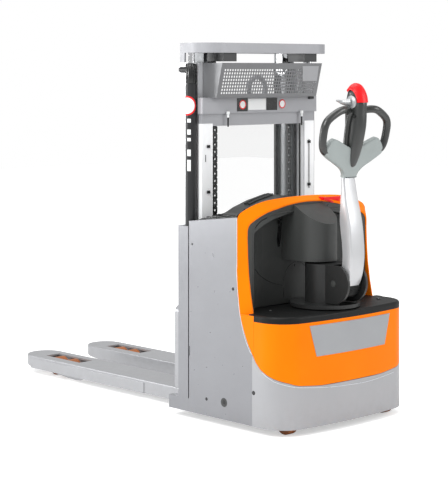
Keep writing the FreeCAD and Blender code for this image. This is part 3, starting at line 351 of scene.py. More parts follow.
# Shapes
class Form:
    """One piece, gathered from surfaces that are given in millimetres."""

    def __init__(self):
        self.points, self.faces, self.count = [], [], 0

    def grid(self, spots, wrap=False, caps=False):
        """A net of points, row by row; wrap closes each row, and caps closes both ends."""
        rows, columns = spots.shape[:2]
        index = self.count + np.arange(rows * columns).reshape(rows, columns)
        across = np.column_stack((index, index[:, :1])) if wrap else index
        quads = np.stack((across[:-1, :-1], across[:-1, 1:], across[1:, 1:], across[1:, :-1]), -1)
        self.faces += quads.reshape(-1, 4).tolist()
        if caps:
            self.faces += [index[0][::-1].tolist(), index[-1].tolist()]
        self.points.append(spots.reshape(-1, 3))
        self.count += rows * columns
        return self

    def tube(self, path, radius, sides=10, flat=1.0, up=(0.13, 0.21, 0.97)):
        """A ring of points carried square to a path; radius may vary along it, and flat squeezes it."""
        path = np.asarray(path, float)
        run = np.gradient(path, axis=0)
        run /= np.linalg.norm(run, axis=1, keepdims=True)
        side = np.cross(run, up)
        side /= np.linalg.norm(side, axis=1, keepdims=True)
        over = np.cross(side, run)
        turn = np.linspace(0, 2 * pi, sides, endpoint=False)[None, :, None]
        reach = np.broadcast_to(radius, len(path))[:, None, None]
        ring = np.cos(turn) * side[:, None] + flat * np.sin(turn) * over[:, None]
        return self.grid(path[:, None] + reach * ring, wrap=True, caps=True)

    def lathe(self, profile, centre, axis=(1.0, 0.0, 0.0), sides=32, flute=(0.0, 0)):
        """A profile of (distance along the axis, radius) turned about it; flute waves the radius."""
        profile, axis = np.asarray(profile, float), np.asarray(axis, float)
        axis /= np.linalg.norm(axis)
        side = np.cross(axis, (0.31, 0.17, 0.94) if abs(axis[2]) < 0.9 else (1.0, 0.0, 0.0))
        side /= np.linalg.norm(side)
        over = np.cross(axis, side)
        turn = np.linspace(0, 2 * pi, sides, endpoint=False)[None, :, None]
        reach = profile[:, 1, None, None] + flute[0] * np.cos(flute[1] * turn)
        spots = (np.asarray(centre, float) + profile[:, 0, None, None] * axis
                 + reach * (np.cos(turn) * side + np.sin(turn) * over))
        return self.grid(spots, wrap=True, caps=True)

    def slab(self, outline, away):
        """A closed outline in space, carried by a straight move."""
        outline = np.asarray(outline, float)
        return self.grid(np.stack((outline, outline + np.asarray(away, float))), wrap=True, caps=True)

    def block(self, x0, x1, y0, y1, z0, z1):
        """A straight block, which gets its rounded edges when the piece is finished."""
        return self.slab([(x0, y0, z0), (x1, y0, z0), (x1, y1, z0), (x0, y1, z0)], (0, 0, z1 - z0))

    def piece(self, name, look, body, slot=None, replaces=(), edge=0.0, smooth_under=35.0, both=False):
        """Writes the mesh in metres, with its mirror if both, rounds its edges and ties it to a body."""
        points = np.concatenate(self.points)
        faces = list(self.faces)
        if both:
            faces += [[i + len(points) for i in reversed(face)] for face in faces]
            points = np.concatenate((points, points * (-1.0, 1.0, 1.0)))
        mesh = bpy.data.meshes.new(name)
        mesh.from_pydata(((points + (0.0, HEEL, 0.0)) / 1000.0).tolist(), [], faces)
        work = bmesh.new()
        work.from_mesh(mesh)
        bmesh.ops.recalc_face_normals(work, faces=work.faces)
        work.to_mesh(mesh)
        work.free()
        obj = bpy.data.objects.new(name, mesh)
        scene.collection.objects.link(obj)
        dress(obj, FINISHES[look], smooth_under)
        if edge:
            bevel = obj.modifiers.new("edge", "BEVEL")
            bevel.width = edge / 1000.0
            bevel.segments = 2
            bevel.limit_method = "ANGLE"
            bevel.angle_limit = radians(40)
        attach(obj, body)
        if replaces:
            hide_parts(*replaces)
        return obj


def tipped(spots, y, z, degrees):
    """Points tipped back by an angle about a line across the machine."""
    a = radians(degrees)
    p = np.array(spots, float)
    dy, dz = p[..., 1] - y, p[..., 2] - z
    p[..., 1], p[..., 2] = y + dy * cos(a) - dz * sin(a), z + dy * sin(a) + dz * cos(a)
    return p


def flowing(rows, count):
    """Rows of numbers, smoothly filled in between: a Hermite curve with slopes taken from the neighbours."""
    rows = np.asarray(rows, float)
    slope = np.gradient(rows, axis=0)
    t = np.linspace(0, len(rows) - 1, count)
    i = np.minimum(t.astype(int), len(rows) - 2)
    s = (t - i)[:, None]
    return ((1 + 2 * s) * (1 - s) ** 2 * rows[i] + s * (1 - s) ** 2 * slope[i]
            + s * s * (3 - 2 * s) * rows[i + 1] - s * s * (1 - s) * slope[i + 1])


def rounded(rows, sides, power):
    """Rings of a squared ellipse: rows are centre x, y, z, half width and half depth."""
    turn = np.linspace(0, 2 * pi, sides, endpoint=False)
    wide = np.sign(np.cos(turn)) * np.abs(np.cos(turn)) ** (2 / power)
    deep = np.sign(np.sin(turn)) * np.abs(np.sin(turn)) ** (2 / power)
    x, y, z, a, b = (rows[:, i, None] for i in range(5))
    return np.stack(np.broadcast_arrays(x + a * wide, y + b * deep, z), -1)


# Tiller: y and z of its tilt axis, then y and z of the line across the machine that the yoke and the grips
# are tipped back about, and by how many degrees
TILT_Y, TILT_Z = -748.0, 597.0
YOKE_Y, YOKE_Z, YOKE_LEAN = -778.0, 1040.2, 12.0

# Arm by height: z, half width, front y, rear y. Its rear corners, and how far its sides draw in at the front.
# Its foot is a drum about the tilt axis: distance along the axis, radius
ARM_CORNER, ARM_DRAW = 7.0, 5.0
FOOT_DRUM = [(-34, 30), (-34, 37), (-30, 40), (30, 40), (34, 37), (34, 30)]
ARM_ROWS = [(572, 34, -744, -800), (622, 40, -766, -822), (700, 43.5, -780, -833), (770, 43, -776, -832),
            (860, 42.5, -764, -821), (950, 40.5, -766, -800), (1040, 36, -766, -786)]


def arm_rings():
    """Rings up the arm: a flat rear face with small corners, and sides that draw in to the front."""
    z, half, front, rear = flowing(ARM_ROWS, 48).T[..., None]
    turn = np.linspace(0, pi / 2, 5)
    inset, depth = ARM_CORNER * (1 - np.cos(turn)), ARM_CORNER * (1 - np.sin(turn))
    middle = (front + rear) / 2
    x = np.concatenate((-half + inset, half - inset[::-1], half, half - ARM_DRAW, ARM_DRAW - half, -half), 1)
    y = np.concatenate((rear + depth, rear + depth[::-1], middle, front, front, middle), 1)
    return np.stack(np.broadcast_arrays(x, y, z), -1)


arm = Form().grid(arm_rings(), wrap=True, caps=True)
arm.lathe(FOOT_DRUM, (0, TILT_Y, TILT_Z))
arm.piece("arm_casting", "arm_alloy", "tiller", replaces=("tiller_arm",), smooth_under=30.0)

# Right half of the yoke's outline before it is tipped back: x, z
YOKE_HALF = [(37, 1040.4), (39, 1052), (48, 1067), (72, 1086), (120, 1111), (164, 1135), (178, 1148),
             (178, 1164), (162, 1190), (136, 1210), (112, 1206), (72, 1190), (50, 1180), (24, 1172)]
YOKE_RIGHT = flowing(YOKE_HALF, 64)
YOKE_OUTLINE = np.concatenate((YOKE_RIGHT, (YOKE_RIGHT * (-1, 1))[::-1]))

# Rings of the yoke from front to rear: how far the outline is drawn in, and y from the yoke's middle
YOKE_RINGS = [(6, 14), (2, 12.5), (0, 9), (0, -9), (2, -13), (6, -15)]


def yoke_ring(inset, y):
    """The yoke's outline drawn in by a distance along its own normals, in the plane y."""
    run = np.roll(YOKE_OUTLINE, -1, 0) - np.roll(YOKE_OUTLINE, 1, 0)
    run /= np.linalg.norm(run, axis=1, keepdims=True)
    spots = YOKE_OUTLINE + inset * np.stack((-run[:, 1], run[:, 0]), -1)
    return tipped(np.stack((spots[:, 0], np.full(len(spots), y), spots[:, 1]), -1), YOKE_Y, YOKE_Z, YOKE_LEAN)


yoke = Form().grid(np.stack([yoke_ring(inset, YOKE_Y + y) for inset, y in YOKE_RINGS]), wrap=True, caps=True)
yoke.piece("yoke_casting", "yoke_grey", "tiller", replaces=("tiller_yoke",), smooth_under=40.0)

# Core of the head: z, half width, front y, rear y
CORE_ROWS = [(1085, 5, -794, -806), (1092, 14, -783, -813), (1114, 23, -775, -823), (1156, 30, -771, -839),
             (1199, 33, -771, -852), (1262, 34, -773, -866), (1324, 34, -773, -869), (1356, 31, -777, -870),
             (1385, 28, -782, -862), (1405, 25, -790, -846), (1414, 17, -804, -832)]
core_rows = flowing([(0, (f + r) / 2, z, h, (f - r) / 2) for z, h, f, r in CORE_ROWS], 60)
casing = Form().grid(rounded(core_rows, 44, 2.5), wrap=True, caps=True)
core = casing.piece("head_casing", "head_black", "tiller", "charcoal_plastic", replaces=("tiller_head",),
                    smooth_under=60.0)

# Centre line of the right grip before it is tipped back, as x and z. It leans forward nearer the head than
# GRIP_TURN, is fullest in its middle and has a thinner neck at its foot
GRIP_LINE = [(148, 1150), (166, 1154), (181, 1165), (192, 1190), (196, 1232), (193, 1268), (176, 1294),
             (130, 1322), (96, 1332), (62, 1328), (40, 1317)]
GRIP_TURN, GRIP_LEAN = 100.0, 0.4
GRIP_R, GRIP_SWELL, GRIP_NECK = 15.5, 1.0, 3.0
GRIP_UP = (0, 1, 0.2)
grip_path = flowing([(x, YOKE_Y + GRIP_LEAN * max(0.0, GRIP_TURN - x), z) for x, z in GRIP_LINE], 72)
grip_r = GRIP_R + GRIP_SWELL * np.sin(np.linspace(0, pi, 72)) - GRIP_NECK * np.exp(-np.linspace(0, 14, 72))
grips = Form().tube(tipped(grip_path, YOKE_Y, YOKE_Z, YOKE_LEAN), grip_r, 20, up=GRIP_UP)

# Leg of the right grip beside the head, before it is tipped back: x, y, z
INNER_LEG = [(36, -766, 1176), (36, -762, 1230), (37, -762, 1290), (42, -772, 1324)]
INNER_LEG_R = 11.0
grips.tube(tipped(flowing(INNER_LEG, 20), YOKE_Y, YOKE_Z, YOKE_LEAN), INNER_LEG_R, 16, up=GRIP_UP)
grips.piece("head_grips", "head_black", "tiller", "charcoal_plastic", both=True, smooth_under=60.0)

# Red hood: its outline on the middle line and at its edges, from the front lip to the rear, as y, z. The
# inner side is drawn in by a share towards the heart, and is a little narrower
HOOD_MIDDLE = [(-796, 1421), (-806, 1432), (-820, 1437), (-840, 1431), (-857, 1413), (-869, 1387),
               (-874, 1356)]
HOOD_EDGE = [(-797, 1407), (-808, 1416), (-820, 1418), (-835, 1411), (-848, 1395), (-857, 1376), (-861, 1356)]
HOOD_HALF = 32.0
HOOD_WALL = 0.16
HOOD_NARROW = 0.94
HOOD_HEART = np.array((-815.0, 1352.0))


def hood_rings():
    """Rings across the hood: a crown between two edges, then back on the same line drawn in to the heart."""
    middle, edge = flowing(HOOD_MIDDLE, 30)[:, None], flowing(HOOD_EDGE, 30)[:, None]
    across = np.sin(np.linspace(-pi / 2, pi / 2, 17))
    share = (np.abs(across) ** 2.4)[None, :, None]
    outer = middle * (1 - share) + edge * share
    inner = HOOD_HEART + (outer - HOOD_HEART) * (1 - HOOD_WALL)
    flat = np.concatenate((outer, inner[:, ::-1]), 1)
    x = np.concatenate((HOOD_HALF * across, HOOD_HALF * HOOD_NARROW * across[::-1]))
    return np.concatenate((np.broadcast_to(x[None, :, None], flat.shape[:2] + (1,)), flat), -1)


hood = Form().grid(hood_rings(), wrap=True, caps=True)
hood.piece("hood", "red_plastic", "tiller", replaces=("stop_button",), smooth_under=50.0)

# Rocker: a hub at each side of the head with a wing that curls away from it and narrows to its tip
HUB = (0.0, -826.0, 1357.0)
HUB_PROFILE = [(29, 12), (30, 26), (36, 27), (41, 22), (43, 12)]
WING_LINE = [(34, -822, 1356), (46, -808, 1355), (58, -797, 1357), (70, -789, 1362), (80, -783, 1364)]
WING_TIP, WING_GROWTH = 5.0, 21.0
rocker = Form().lathe(HUB_PROFILE, HUB, sides=36)
rocker.tube(flowing(WING_LINE, 24), WING_TIP + WING_GROWTH * np.linspace(1, 0, 24) ** 1.2, 16, flat=0.7,
            up=(0.1, 0.3, 0.9))
rocker.piece("head_rocker", "rocker_silver", "tiller", slot="silver_paint", replaces=("tiller_rocker",),
             both=True, smooth_under=50.0)


def spot(name, carrier, places, radius, look, body, slot, tall, both=False):
    """Round studs square to the carrier at photo pixels, with a rim drawn in over their last two fifths."""
    form = Form()
    for u, v in places:
        at, out = seen(carrier, [(u, v)])[0], facing(carrier, u, v)
        form.lathe([(-1.0, radius), (tall * 0.6, radius), (tall, radius * 0.8)], at, out, 20)
    return form.piece(name, look, body, slot, both=both, smooth_under=40.0)


def line(name, carrier, places, radius, look, body, slot, both=False, flat=0.6):
    """A thin bead that lies on the carrier along photo pixels."""
    form = Form().tube(flowing(seen(carrier, places), 40), radius, 8, flat=flat)
    return form.piece(name, look, body, slot, both=both, smooth_under=60.0)


def hole_shade(name, carrier, places, radius, body="root", tall=0.5, both=True):
    """Painted shade of round holes, as thin black discs on the carrier."""
    return spot(name, carrier, places, radius, "gloss_black", body, "charcoal_plastic", tall, both=both)


def seam_and_shade_line(name, carrier, places, radius):
    """A black bead on the carrier and its mirror: the dark line of a seam, and painted shade in slots and
    along a recess's edge.
    """
    return line(name, carrier, places, radius, "gloss_black", "root", "charcoal_plastic", both=True)


CORE_HOLE = [(354.6, 116.4)]
CORE_BUTTON = [(351.8, 112.0)]
# Painted shade: a black disc in the hole on the head's rear face
hole_shade("head_hole_shade", core, CORE_HOLE, 8.5, "tiller", 0.4, both=False)
spot("head_button", core, CORE_BUTTON, 5.0, "rocker_silver", "tiller", "silver_paint", 2.0)

# Ribbed rubber drum in the tiller's socket, which the foot of the arm turns in, and the pin through them
BOOT_R, BOOT_HALF, BOOT_EDGE = 62.0, 47.5, 5.0
RIB_HEIGHT, RIB_COUNT = 1.6, 33
PIN_R, PIN_HALF = 14.0, 61.5
boot = Form().lathe([(-BOOT_HALF, BOOT_R - BOOT_EDGE), (3.5 - BOOT_HALF, BOOT_R), (BOOT_HALF - 3.5, BOOT_R),
                     (BOOT_HALF, BOOT_R - BOOT_EDGE)], (0.0, TILT_Y, TILT_Z), sides=4 * RIB_COUNT,
                    flute=(RIB_HEIGHT, RIB_COUNT))
pin = Form().lathe([(-PIN_HALF, PIN_R - 2), (0.5 - PIN_HALF, PIN_R), (PIN_HALF - 0.5, PIN_R),
                    (PIN_HALF, PIN_R - 2)], (0.0, TILT_Y, TILT_Z), sides=24)
pin.piece("tilt_pin", "charcoal_plastic", "tiller", "steel")
boot.piece("tiller_boot", "shelf_black", "steering", "hose_rubber", smooth_under=50.0)

# Body: painted highlights down the rear edges of the side covers, and the panels' holes as painted shade,
# their plugs and screws
PANEL_REAR = [(-608, 325), (-588, 350), (-566, 392), (-542, 465), (-526, 560), (-519.5, 640), (-520, 690),
              (-520, 780), (-520, 876)]
HIGHLIGHT_X, HIGHLIGHT_IN, HIGHLIGHT_R = 399.4, 1.5, 1.3
# Painted highlights: light tubes along the side covers' rear edges
edge_highlights = Form()
for x in (-HIGHLIGHT_X, HIGHLIGHT_X):
    edge_highlights.tube(flowing([(x, y + HIGHLIGHT_IN, z) for y, z in PANEL_REAR], 60), HIGHLIGHT_R, 8, up=(1.0, 0.1, 0.0))
edge_highlights.piece("panel_edge_highlights", "edge_highlight", "root", "silver_paint", smooth_under=60.0)

COVER = "side_cover_left"
SIDE_HOLES = [(233.0, 289.0), (206.5, 399.0)]
SIDE_PLUG = [(224.0, 402.5)]
BUMPER_HOLE = [(253.6, 393.0)]
POST_SLOT = [(189.7, 346.0), (189.7, 355.5)]
TOP_SCREW = [(192.3, 244.0)]
# Painted shade: black discs in the side covers' holes, the plugs' hearts and the bumper's holes
hole_shade("side_hole_shade", COVER, SIDE_HOLES, 7.0)
spot("side_plugs", COVER, SIDE_PLUG, 19.0, "dark_paint", "root", "dark_paint", 0.6, both=True)
hole_shade("side_plug_heart_shade", COVER, SIDE_PLUG, 10.0, tall=0.9)
hole_shade("bumper_hole_shade", "bumper_skirt", BUMPER_HOLE, 9.0)
spot("side_screws", COVER, TOP_SCREW, 5.0, "dark_paint", "root", "steel", 0.8, both=True)
# Painted shade: a black bead in the slot down the side cover's front corner
seam_and_shade_line("post_slot_shade", COVER, POST_SLOT, 1.4)

# Recess behind the tiller: painted shadow at the step of the column's fairing, painted shade in a slot and
# along the recess's edges, and seams
BAY = "tiller_bay"
STEP_SHADOW = [(278.4, 211.0), (282.3, 211.0), (281.9, 225.0), (281.0, 236.0), (279.6, 246.5), (277.9, 247.0),
        (276.6, 240.0), (278.2, 225.0)]
SLOT = [(254.3, 229.6), (257.0, 225.4), (261.5, 221.0), (267.0, 218.0)]
CURVE_SEAM = [(254.8, 269.0), (260.0, 275.5), (267.0, 280.5), (275.0, 283.7), (282.5, 285.2)]
RECESS_EDGE = [(295.0, 261.5), (290.5, 264.5), (286.5, 269.5), (284.0, 277.0), (283.2, 286.0), (283.6, 297.0)]
# Painted shadow: a thin black slab in the gap at the step of the column's fairing
step_shadow = Form().slab(seen(BAY, STEP_SHADOW, 0.8), (0.0, 3.0, 0.0))
step_shadow.piece("bay_step_shadow", "gloss_black", "root", "charcoal_plastic", both=True)
# Painted shade: a black bead in the recess's slot
seam_and_shade_line("bay_slot_shade", BAY, SLOT, 2.6)
seam_and_shade_line("bay_seams", BAY, CURVE_SEAM, 1.1)
# Painted shade: a black bead along the edge of the pocket round the drum
seam_and_shade_line("bay_recess_edge_shade", BAY, RECESS_EDGE, 1.1)

# Rim bead round the recess, inside the arch: x and z on the right half
RIM_HALF = [(334.5, 489), (334.5, 600), (334.5, 720), (333, 800), (326, 836), (300, 862), (240, 880),
            (120, 889), (0, 892)]
RIM_Y, RIM_R = -547.5, 3.5
rim_right = flowing(RIM_HALF, 60)
rim_x, rim_z = np.concatenate((rim_right, (rim_right * (-1, 1))[-2::-1])).T
rim = Form().tube(np.stack(np.broadcast_arrays(rim_x, RIM_Y, rim_z), -1), RIM_R, 10, up=(0, 1, 0))
rim.piece("bay_rim", "charcoal_plastic", "root", smooth_under=60.0)

# Battery cover: it follows the arch at the rear, as x and z, and drops to a narrower hump towards the mast
LID_REAR = [(-396, 882), (-388, 890), (-374, 899), (-300, 921), (-212, 938), (-100, 944), (0, 946)]
LID_FRONT = [(-396, 853), (-380, 860), (-330, 862), (-290, 867), (-240, 876), (-192, 896), (-107, 922),
             (0, 944)]
LID_HALF, LID_WALL = 396.0, 6.0
LID_Y = (-513.0, -281.0)
LID_DROP = 0.26

# Top line of the side covers under the lid: its ends' y, front first, their height, and the room over it
EDGE_Y, EDGE_Z, EDGE_ROOM = (-225.0, -520.0), (846.6, 880.6), 2.0


def lid_y(t):
    """Place along the cover, at t from its rear edge, 0, to its front edge, 1."""
    return LID_Y[0] + (LID_Y[1] - LID_Y[0]) * t


def lid_top(x, t):
    """Height of the cover at x and t: the rear line, then a smooth step down to the front line."""
    rear = np.interp(-np.abs(x), *np.array(LID_REAR, float).T)
    front = np.interp(-np.abs(x), *np.array(LID_FRONT, float).T)
    s = np.clip(t / LID_DROP, 0, 1)
    s = s * s * (3 - 2 * s)
    return rear * (1 - s) + front * s


x, t = np.meshgrid(np.linspace(-LID_HALF, LID_HALF, 121), np.linspace(0, 1, 41))
y = lid_y(t)
edge_z = np.interp(-y, np.negative(EDGE_Y), EDGE_Z)
top = np.maximum(lid_top(x, t), edge_z + EDGE_ROOM)
under = np.maximum(top - LID_WALL, edge_z)
over_side, under_side = np.stack((x, y, top), -1), np.stack((x, y, under), -1)
lid = Form().grid(np.concatenate((over_side, under_side[:, ::-1]), 1), wrap=True, caps=True)
lid.piece("battery_lid", "lid_black", "lid", "charcoal_plastic", replaces=("battery_cover",),
          smooth_under=40.0)

# Beads along the cover's side, which flare inwards at the rear and start further forward one by one
STEP_X, STEP_R, STEP_FLARE = (-352.0, -318.0, -286.0), 7.0, 26.0
STEP_START, STEP_DELAY, STEP_END = 0.04, 0.05, 0.97
steps = Form()
for k, step_x in enumerate(STEP_X):
    t = np.linspace(STEP_START + STEP_DELAY * k, STEP_END, 30)
    x = step_x + STEP_FLARE * np.exp(-t * 9)
    steps.tube(np.stack((x, lid_y(t), lid_top(x, t) + 1.0), -1), STEP_R, 10, flat=0.8)
steps.piece("lid_steps", "gloss_black", "lid", "charcoal_plastic", both=True, smooth_under=60.0)

# Grip on the cover: upright ribs in a row, between two beads
RIB_X, RIB_PITCH, RIB_THICK, RIBS = -152.0, 12.2, 5.0, 12
GRIP_T, GRIP_HALF, GRIP_TALL, GRIP_SUNK = 0.8, 11.0, 9.0, 2.0
BEAD_ENDS, BEAD_OUT, BEAD_RISE, BEAD_R = (-156, -8), 13.0, 4.0, 4.5
ribs = Form()
grip_y = lid_y(GRIP_T)
for k in range(RIBS):
    x = RIB_X + RIB_PITCH * k
    z = float(lid_top(x, GRIP_T))
    ribs.block(x, x + RIB_THICK, grip_y - GRIP_HALF, grip_y + GRIP_HALF, z - GRIP_SUNK, z + GRIP_TALL)
x = np.linspace(*BEAD_ENDS, 16)
for y in (grip_y - BEAD_OUT, grip_y + BEAD_OUT):
    bead = np.broadcast_arrays(x, y, lid_top(x, GRIP_T) + BEAD_RISE)
    ribs.tube(np.stack(bead, -1), BEAD_R, 8, up=(0, 0, 1))
ribs.piece("lid_grip", "lid_black", "lid", "charcoal_plastic", edge=1.0)

# Rear strands of the lifting chains: thin plates in pairs on pins, with a stud and a tie beam at the foot
PITCH, CHAIN_X, CHAIN_Y = 15.875, 231.4, -207.4
CHAIN_LOW, CHAIN_HIGH = 690.0, 1498.0
EYE_R, WAIST, WAIST_PAST = 6.9, 0.8, 3.0
PLATE_THICK, OUTER_PLATES, INNER_PLATES = 2.5, (-10.5, 8.0), (-7.5, 5.0)
CHAIN_PIN_R, CHAIN_PIN_HALF = 3.2, 11.0
STUD_R, STUD_FOOT, STUD_LONG = 5.0, 646.0, 48.0
NUT_R, NUT_TALL = 8.5, 9.0
TIE_X, TIE_Y, TIE_Z = (-0.5, 286.5), (-223.0, -204.0), (621, 652)
turn = np.linspace(0, 2 * pi, 10, endpoint=False) + pi / 10
ring = np.stack((EYE_R * np.cos(turn), EYE_R * np.sin(turn)), -1)
plate = np.concatenate((ring[:5] + (0, PITCH / 2), ring[5:] - (0, PITCH / 2)))
plate[:, 0] *= np.where(np.abs(plate[:, 1]) < PITCH / 2 + WAIST_PAST, WAIST, 1.0)
pin_profile = [(-CHAIN_PIN_HALF, CHAIN_PIN_R), (CHAIN_PIN_HALF, CHAIN_PIN_R)]
chains = Form()
for k, z in enumerate(np.arange(CHAIN_LOW, CHAIN_HIGH - PITCH / 2, PITCH)):
    for x in (OUTER_PLATES, INNER_PLATES)[k % 2]:
        chains.slab([(CHAIN_X + x, CHAIN_Y + y, z + dz) for y, dz in plate], (PLATE_THICK, 0, 0))
    chains.lathe(pin_profile, (CHAIN_X, CHAIN_Y, z + PITCH / 2), sides=8)
chains.lathe([(0, STUD_R), (STUD_LONG, STUD_R)], (CHAIN_X, CHAIN_Y, STUD_FOOT), (0, 0, 1), 14)
chains.block(*TIE_X, *TIE_Y, *TIE_Z)
chains.lathe([(0, NUT_R), (NUT_TALL, NUT_R)], (CHAIN_X, CHAIN_Y, TIE_Z[1]), (0, 0, 1), 6)
chains.piece("lift_chains", "chain_steel", "root", replaces=("chain_anchors",), both=True)

# Heads of the lift cylinders: fluted glands, and blank bands and a blank round sign on the left tube
TUBE_X, TUBE_Y, TUBE_R = 368.0, -204.0, 25.0
GLAND_PROFILE = [(0, 21.5), (3, 23.5), (80, 23.5), (84, 21.5)]
GLAND_FOOT, FLUTE_DEPTH, FLUTES = 1433.0, 0.7, 16
glands = Form().lathe(GLAND_PROFILE, (TUBE_X, TUBE_Y, GLAND_FOOT), (0, 0, 1), 128, (FLUTE_DEPTH, FLUTES))
glands.piece("cylinder_glands", "gloss_black", "root", "black_tube", both=True, smooth_under=50.0)


def wrapped(outline, angle, lift):
    """Flat shape, as arc length and height, laid round the left tube at an angle."""
    arc = np.asarray(outline, float)
    turn = angle + arc[..., 0] / TUBE_R
    reach = TUBE_R + lift
    return np.stack((-TUBE_X + reach * np.cos(turn), TUBE_Y + reach * np.sin(turn), arc[..., 1]), -1)


SIGN_TURN, SIGN_Z, SIGN_R, SIGN_RIM = radians(183.0), 1338.0, 42.0, 7.0
turn = np.linspace(0, 2 * pi, 49)[:, None]
for name, look, inner, lift in (("tube_sign", "label_white", 0.0, 0.4),
                                ("tube_sign_ring", "sign_red", SIGN_R - SIGN_RIM, 0.7)):
    reach = np.linspace(inner, SIGN_R, 9)[None, :]
    flat = np.stack((reach * np.cos(turn), SIGN_Z + reach * np.sin(turn)), -1)
    Form().grid(wrapped(flat, SIGN_TURN, lift)).piece(name, look, "root", "black_tube", smooth_under=80.0)

# Blank bands down the left tube: height of the top edge, and depth
BANDS = [(1282, 16), (1236, 22), (1200, 14), (1150, 28), (1106, 48)]
BAND_HALF, BAND_TURN = 8.0, radians(205.0)
bands = Form()
for top, deep in BANDS:
    across, up = np.meshgrid(np.linspace(-BAND_HALF, BAND_HALF, 7), np.linspace(top - deep, top, 3))
    bands.grid(wrapped(np.stack((across, up), -1), BAND_TURN, 0.5))
bands.piece("tube_bands", "label_white", "root", "black_tube", smooth_under=80.0)

# Blank plates and round signs on the mast's upper crossmember
CROSS = "mast_crossmembers"
SIGN_CARDS = [[(237.0, 98.2), (247.4, 98.0), (247.4, 111.2), (237.0, 111.4)],
              [(266.4, 97.9), (277.0, 97.8), (277.0, 109.9), (266.4, 110.1)]]
PALE_PLATE = [(248.0, 98.8), (265.6, 98.5), (265.6, 109.6), (248.0, 109.9)]
CARD_THICK = 1.2
SIGNS = [(242.3, 104.6), (281.8, 103.8)]
DISC_R, DISC_THICK, RING_R, RING_WIRE = 20.0, 1.0, 18.0, 2.4
cards = Form()
for card in SIGN_CARDS:
    cards.slab(seen(CROSS, card, 0.4), (0, -CARD_THICK, 0))
cards.piece("sign_cards", "gloss_black", "root", "dark_paint")
pale = Form().slab(seen(CROSS, PALE_PLATE, 0.4), (0, -CARD_THICK, 0))
pale.piece("blank_plate", "label_white", "root", "silver_paint")
discs, rings = Form(), Form()
for x, y, z in seen(CROSS, SIGNS, 1.8):
    discs.lathe([(0, DISC_R), (DISC_THICK, DISC_R)], (x, y, z), (0, -1, 0), 36)
    circle = [(x + RING_R * cos(a), y - 1.4, z + RING_R * sin(a)) for a in np.linspace(0, 2 * pi, 37)]
    rings.tube(circle, RING_WIRE, 6, 0.4, (0, 1, 0))
discs.piece("sign_discs", "label_white", "root", "silver_paint")
rings.piece("sign_rings", "sign_red", "root", "red_plastic", smooth_under=80.0)

# Plain patch on the guard's right: its top edge, and a share of the way down to the guard's foot
PATCH_TOP = [(302.5, 66.0), (318.6, 66.0)]
PATCH_FOOT = [(302.5, 95.6), (314.8, 95.6)]
PATCH_SHARE = 0.5
top_edge, foot_edge = seen("mesh_guard", PATCH_TOP, 0.4), seen("mesh_guard", PATCH_FOOT, 0.4)
low_edge = top_edge + (foot_edge - top_edge) * PATCH_SHARE
patch = Form().slab([top_edge[0], top_edge[1], low_edge[1], low_edge[0]], (0, -1.0, 0))
patch.piece("guard_patch", "silver_paint", "root", "dark_paint")

# Clips on the crossmembers' plates with their screws, a tab, and thin upright lines beside the clips
CLIPS = [(208.0, 146.5), (208.0, 192.0), (308.5, 141.5), (308.5, 184.0)]
CLIP_X, CLIP_Y, CLIP_Z = 8.0, 7.0, 6.5
CLIP_SCREW_R, CLIP_SCREW_TALL = 3.2, 3.0
TAB = (310.3, 97.6)
TAB_X, TAB_Y, TAB_Z = 15.0, 9.0, 6.0
RIGHT_LINE, LEFT_LINE = [(308.6, 139.0), (308.6, 188.0)], [(205.5, 155.0), (205.5, 162.0)]
clips = Form()
for x, y, z in seen(CROSS, CLIPS, 0.2):
    clips.block(x - CLIP_X, x + CLIP_X, y - CLIP_Y, y, z - CLIP_Z, z + CLIP_Z)
    clips.lathe([(0, CLIP_SCREW_R), (CLIP_SCREW_TALL, CLIP_SCREW_R)], (x, y - CLIP_Y, z), (0, -1, 0), 12)
x, y, z = seen(CROSS, [TAB], 0.2)[0]
clips.block(x - TAB_X, x + TAB_X, y - TAB_Y, y, z - TAB_Z, z + TAB_Z)
clips.piece("mast_clips", "gloss_black", "root", "dark_paint", edge=1.2)
rods = Form().tube(seen(CROSS, RIGHT_LINE, 3.0), 1.6, 8)
rods.tube(seen(CROSS, LEFT_LINE, 1.0), 1.4, 8)
rods.piece("mast_lines", "chain_steel", "root", smooth_under=60.0)

# Studs that hold the screen, each a pale head and neck over a dark stub, as drop from the top and radius
STUD_TOPS = [(227.0, 111.5), (300.5, 110.5)]
STUD_PROFILE = [(0, 5.5), (0, 7.5), (-12, 7.5), (-13, 5.0), (-26, 5.0)]
STUB_PROFILE = [(-26, 3.6), (-66, 3.6)]
studs, stubs = Form(), Form()
for at in seen(CROSS, STUD_TOPS, 7.0):
    studs.lathe(STUD_PROFILE, at, (0, 0, 1), 18)
    stubs.lathe(STUB_PROFILE, at, (0, 0, 1), 14)
studs.piece("screen_studs", "label_white", "root", "steel", smooth_under=50.0)
stubs.piece("screen_stubs", "gloss_black", "root", "dark_paint", smooth_under=50.0)

# Red bars of the handle on the arch
HANDLE_LOWER = [(322.5, 199.0), (330.0, 201.0), (339.5, 204.2)]
HANDLE_UPPER = [(319.0, 197.6), (328.0, 198.3), (339.0, 200.2)]
line("handle_lower", "arch_frame", HANDLE_LOWER, 5.2, "red_plastic", "root", "red_plastic", flat=0.9)
line("handle_upper", "arch_frame", HANDLE_UPPER, 5.6, "red_plastic", "root", "red_plastic", flat=0.9)

# Painted highlight along the bumper's top edge, and the screws and the plug of the recess and the shelf
BUMPER_HIGHLIGHT = [(262.0, 372.6), (268.0, 378.0), (276.0, 382.8), (290.0, 386.6), (303.0, 387.8), (333.0, 386.8),
               (363.0, 382.4), (380.0, 377.5), (394.0, 372.0)]
BAY_SCREWS = [(295.0, 265.0), (336.0, 261.0), (328.0, 204.8)]
SHELF_SCREW = [(270.4, 310.5)]
SHELF_PLUG = [(378.5, 299.0)]
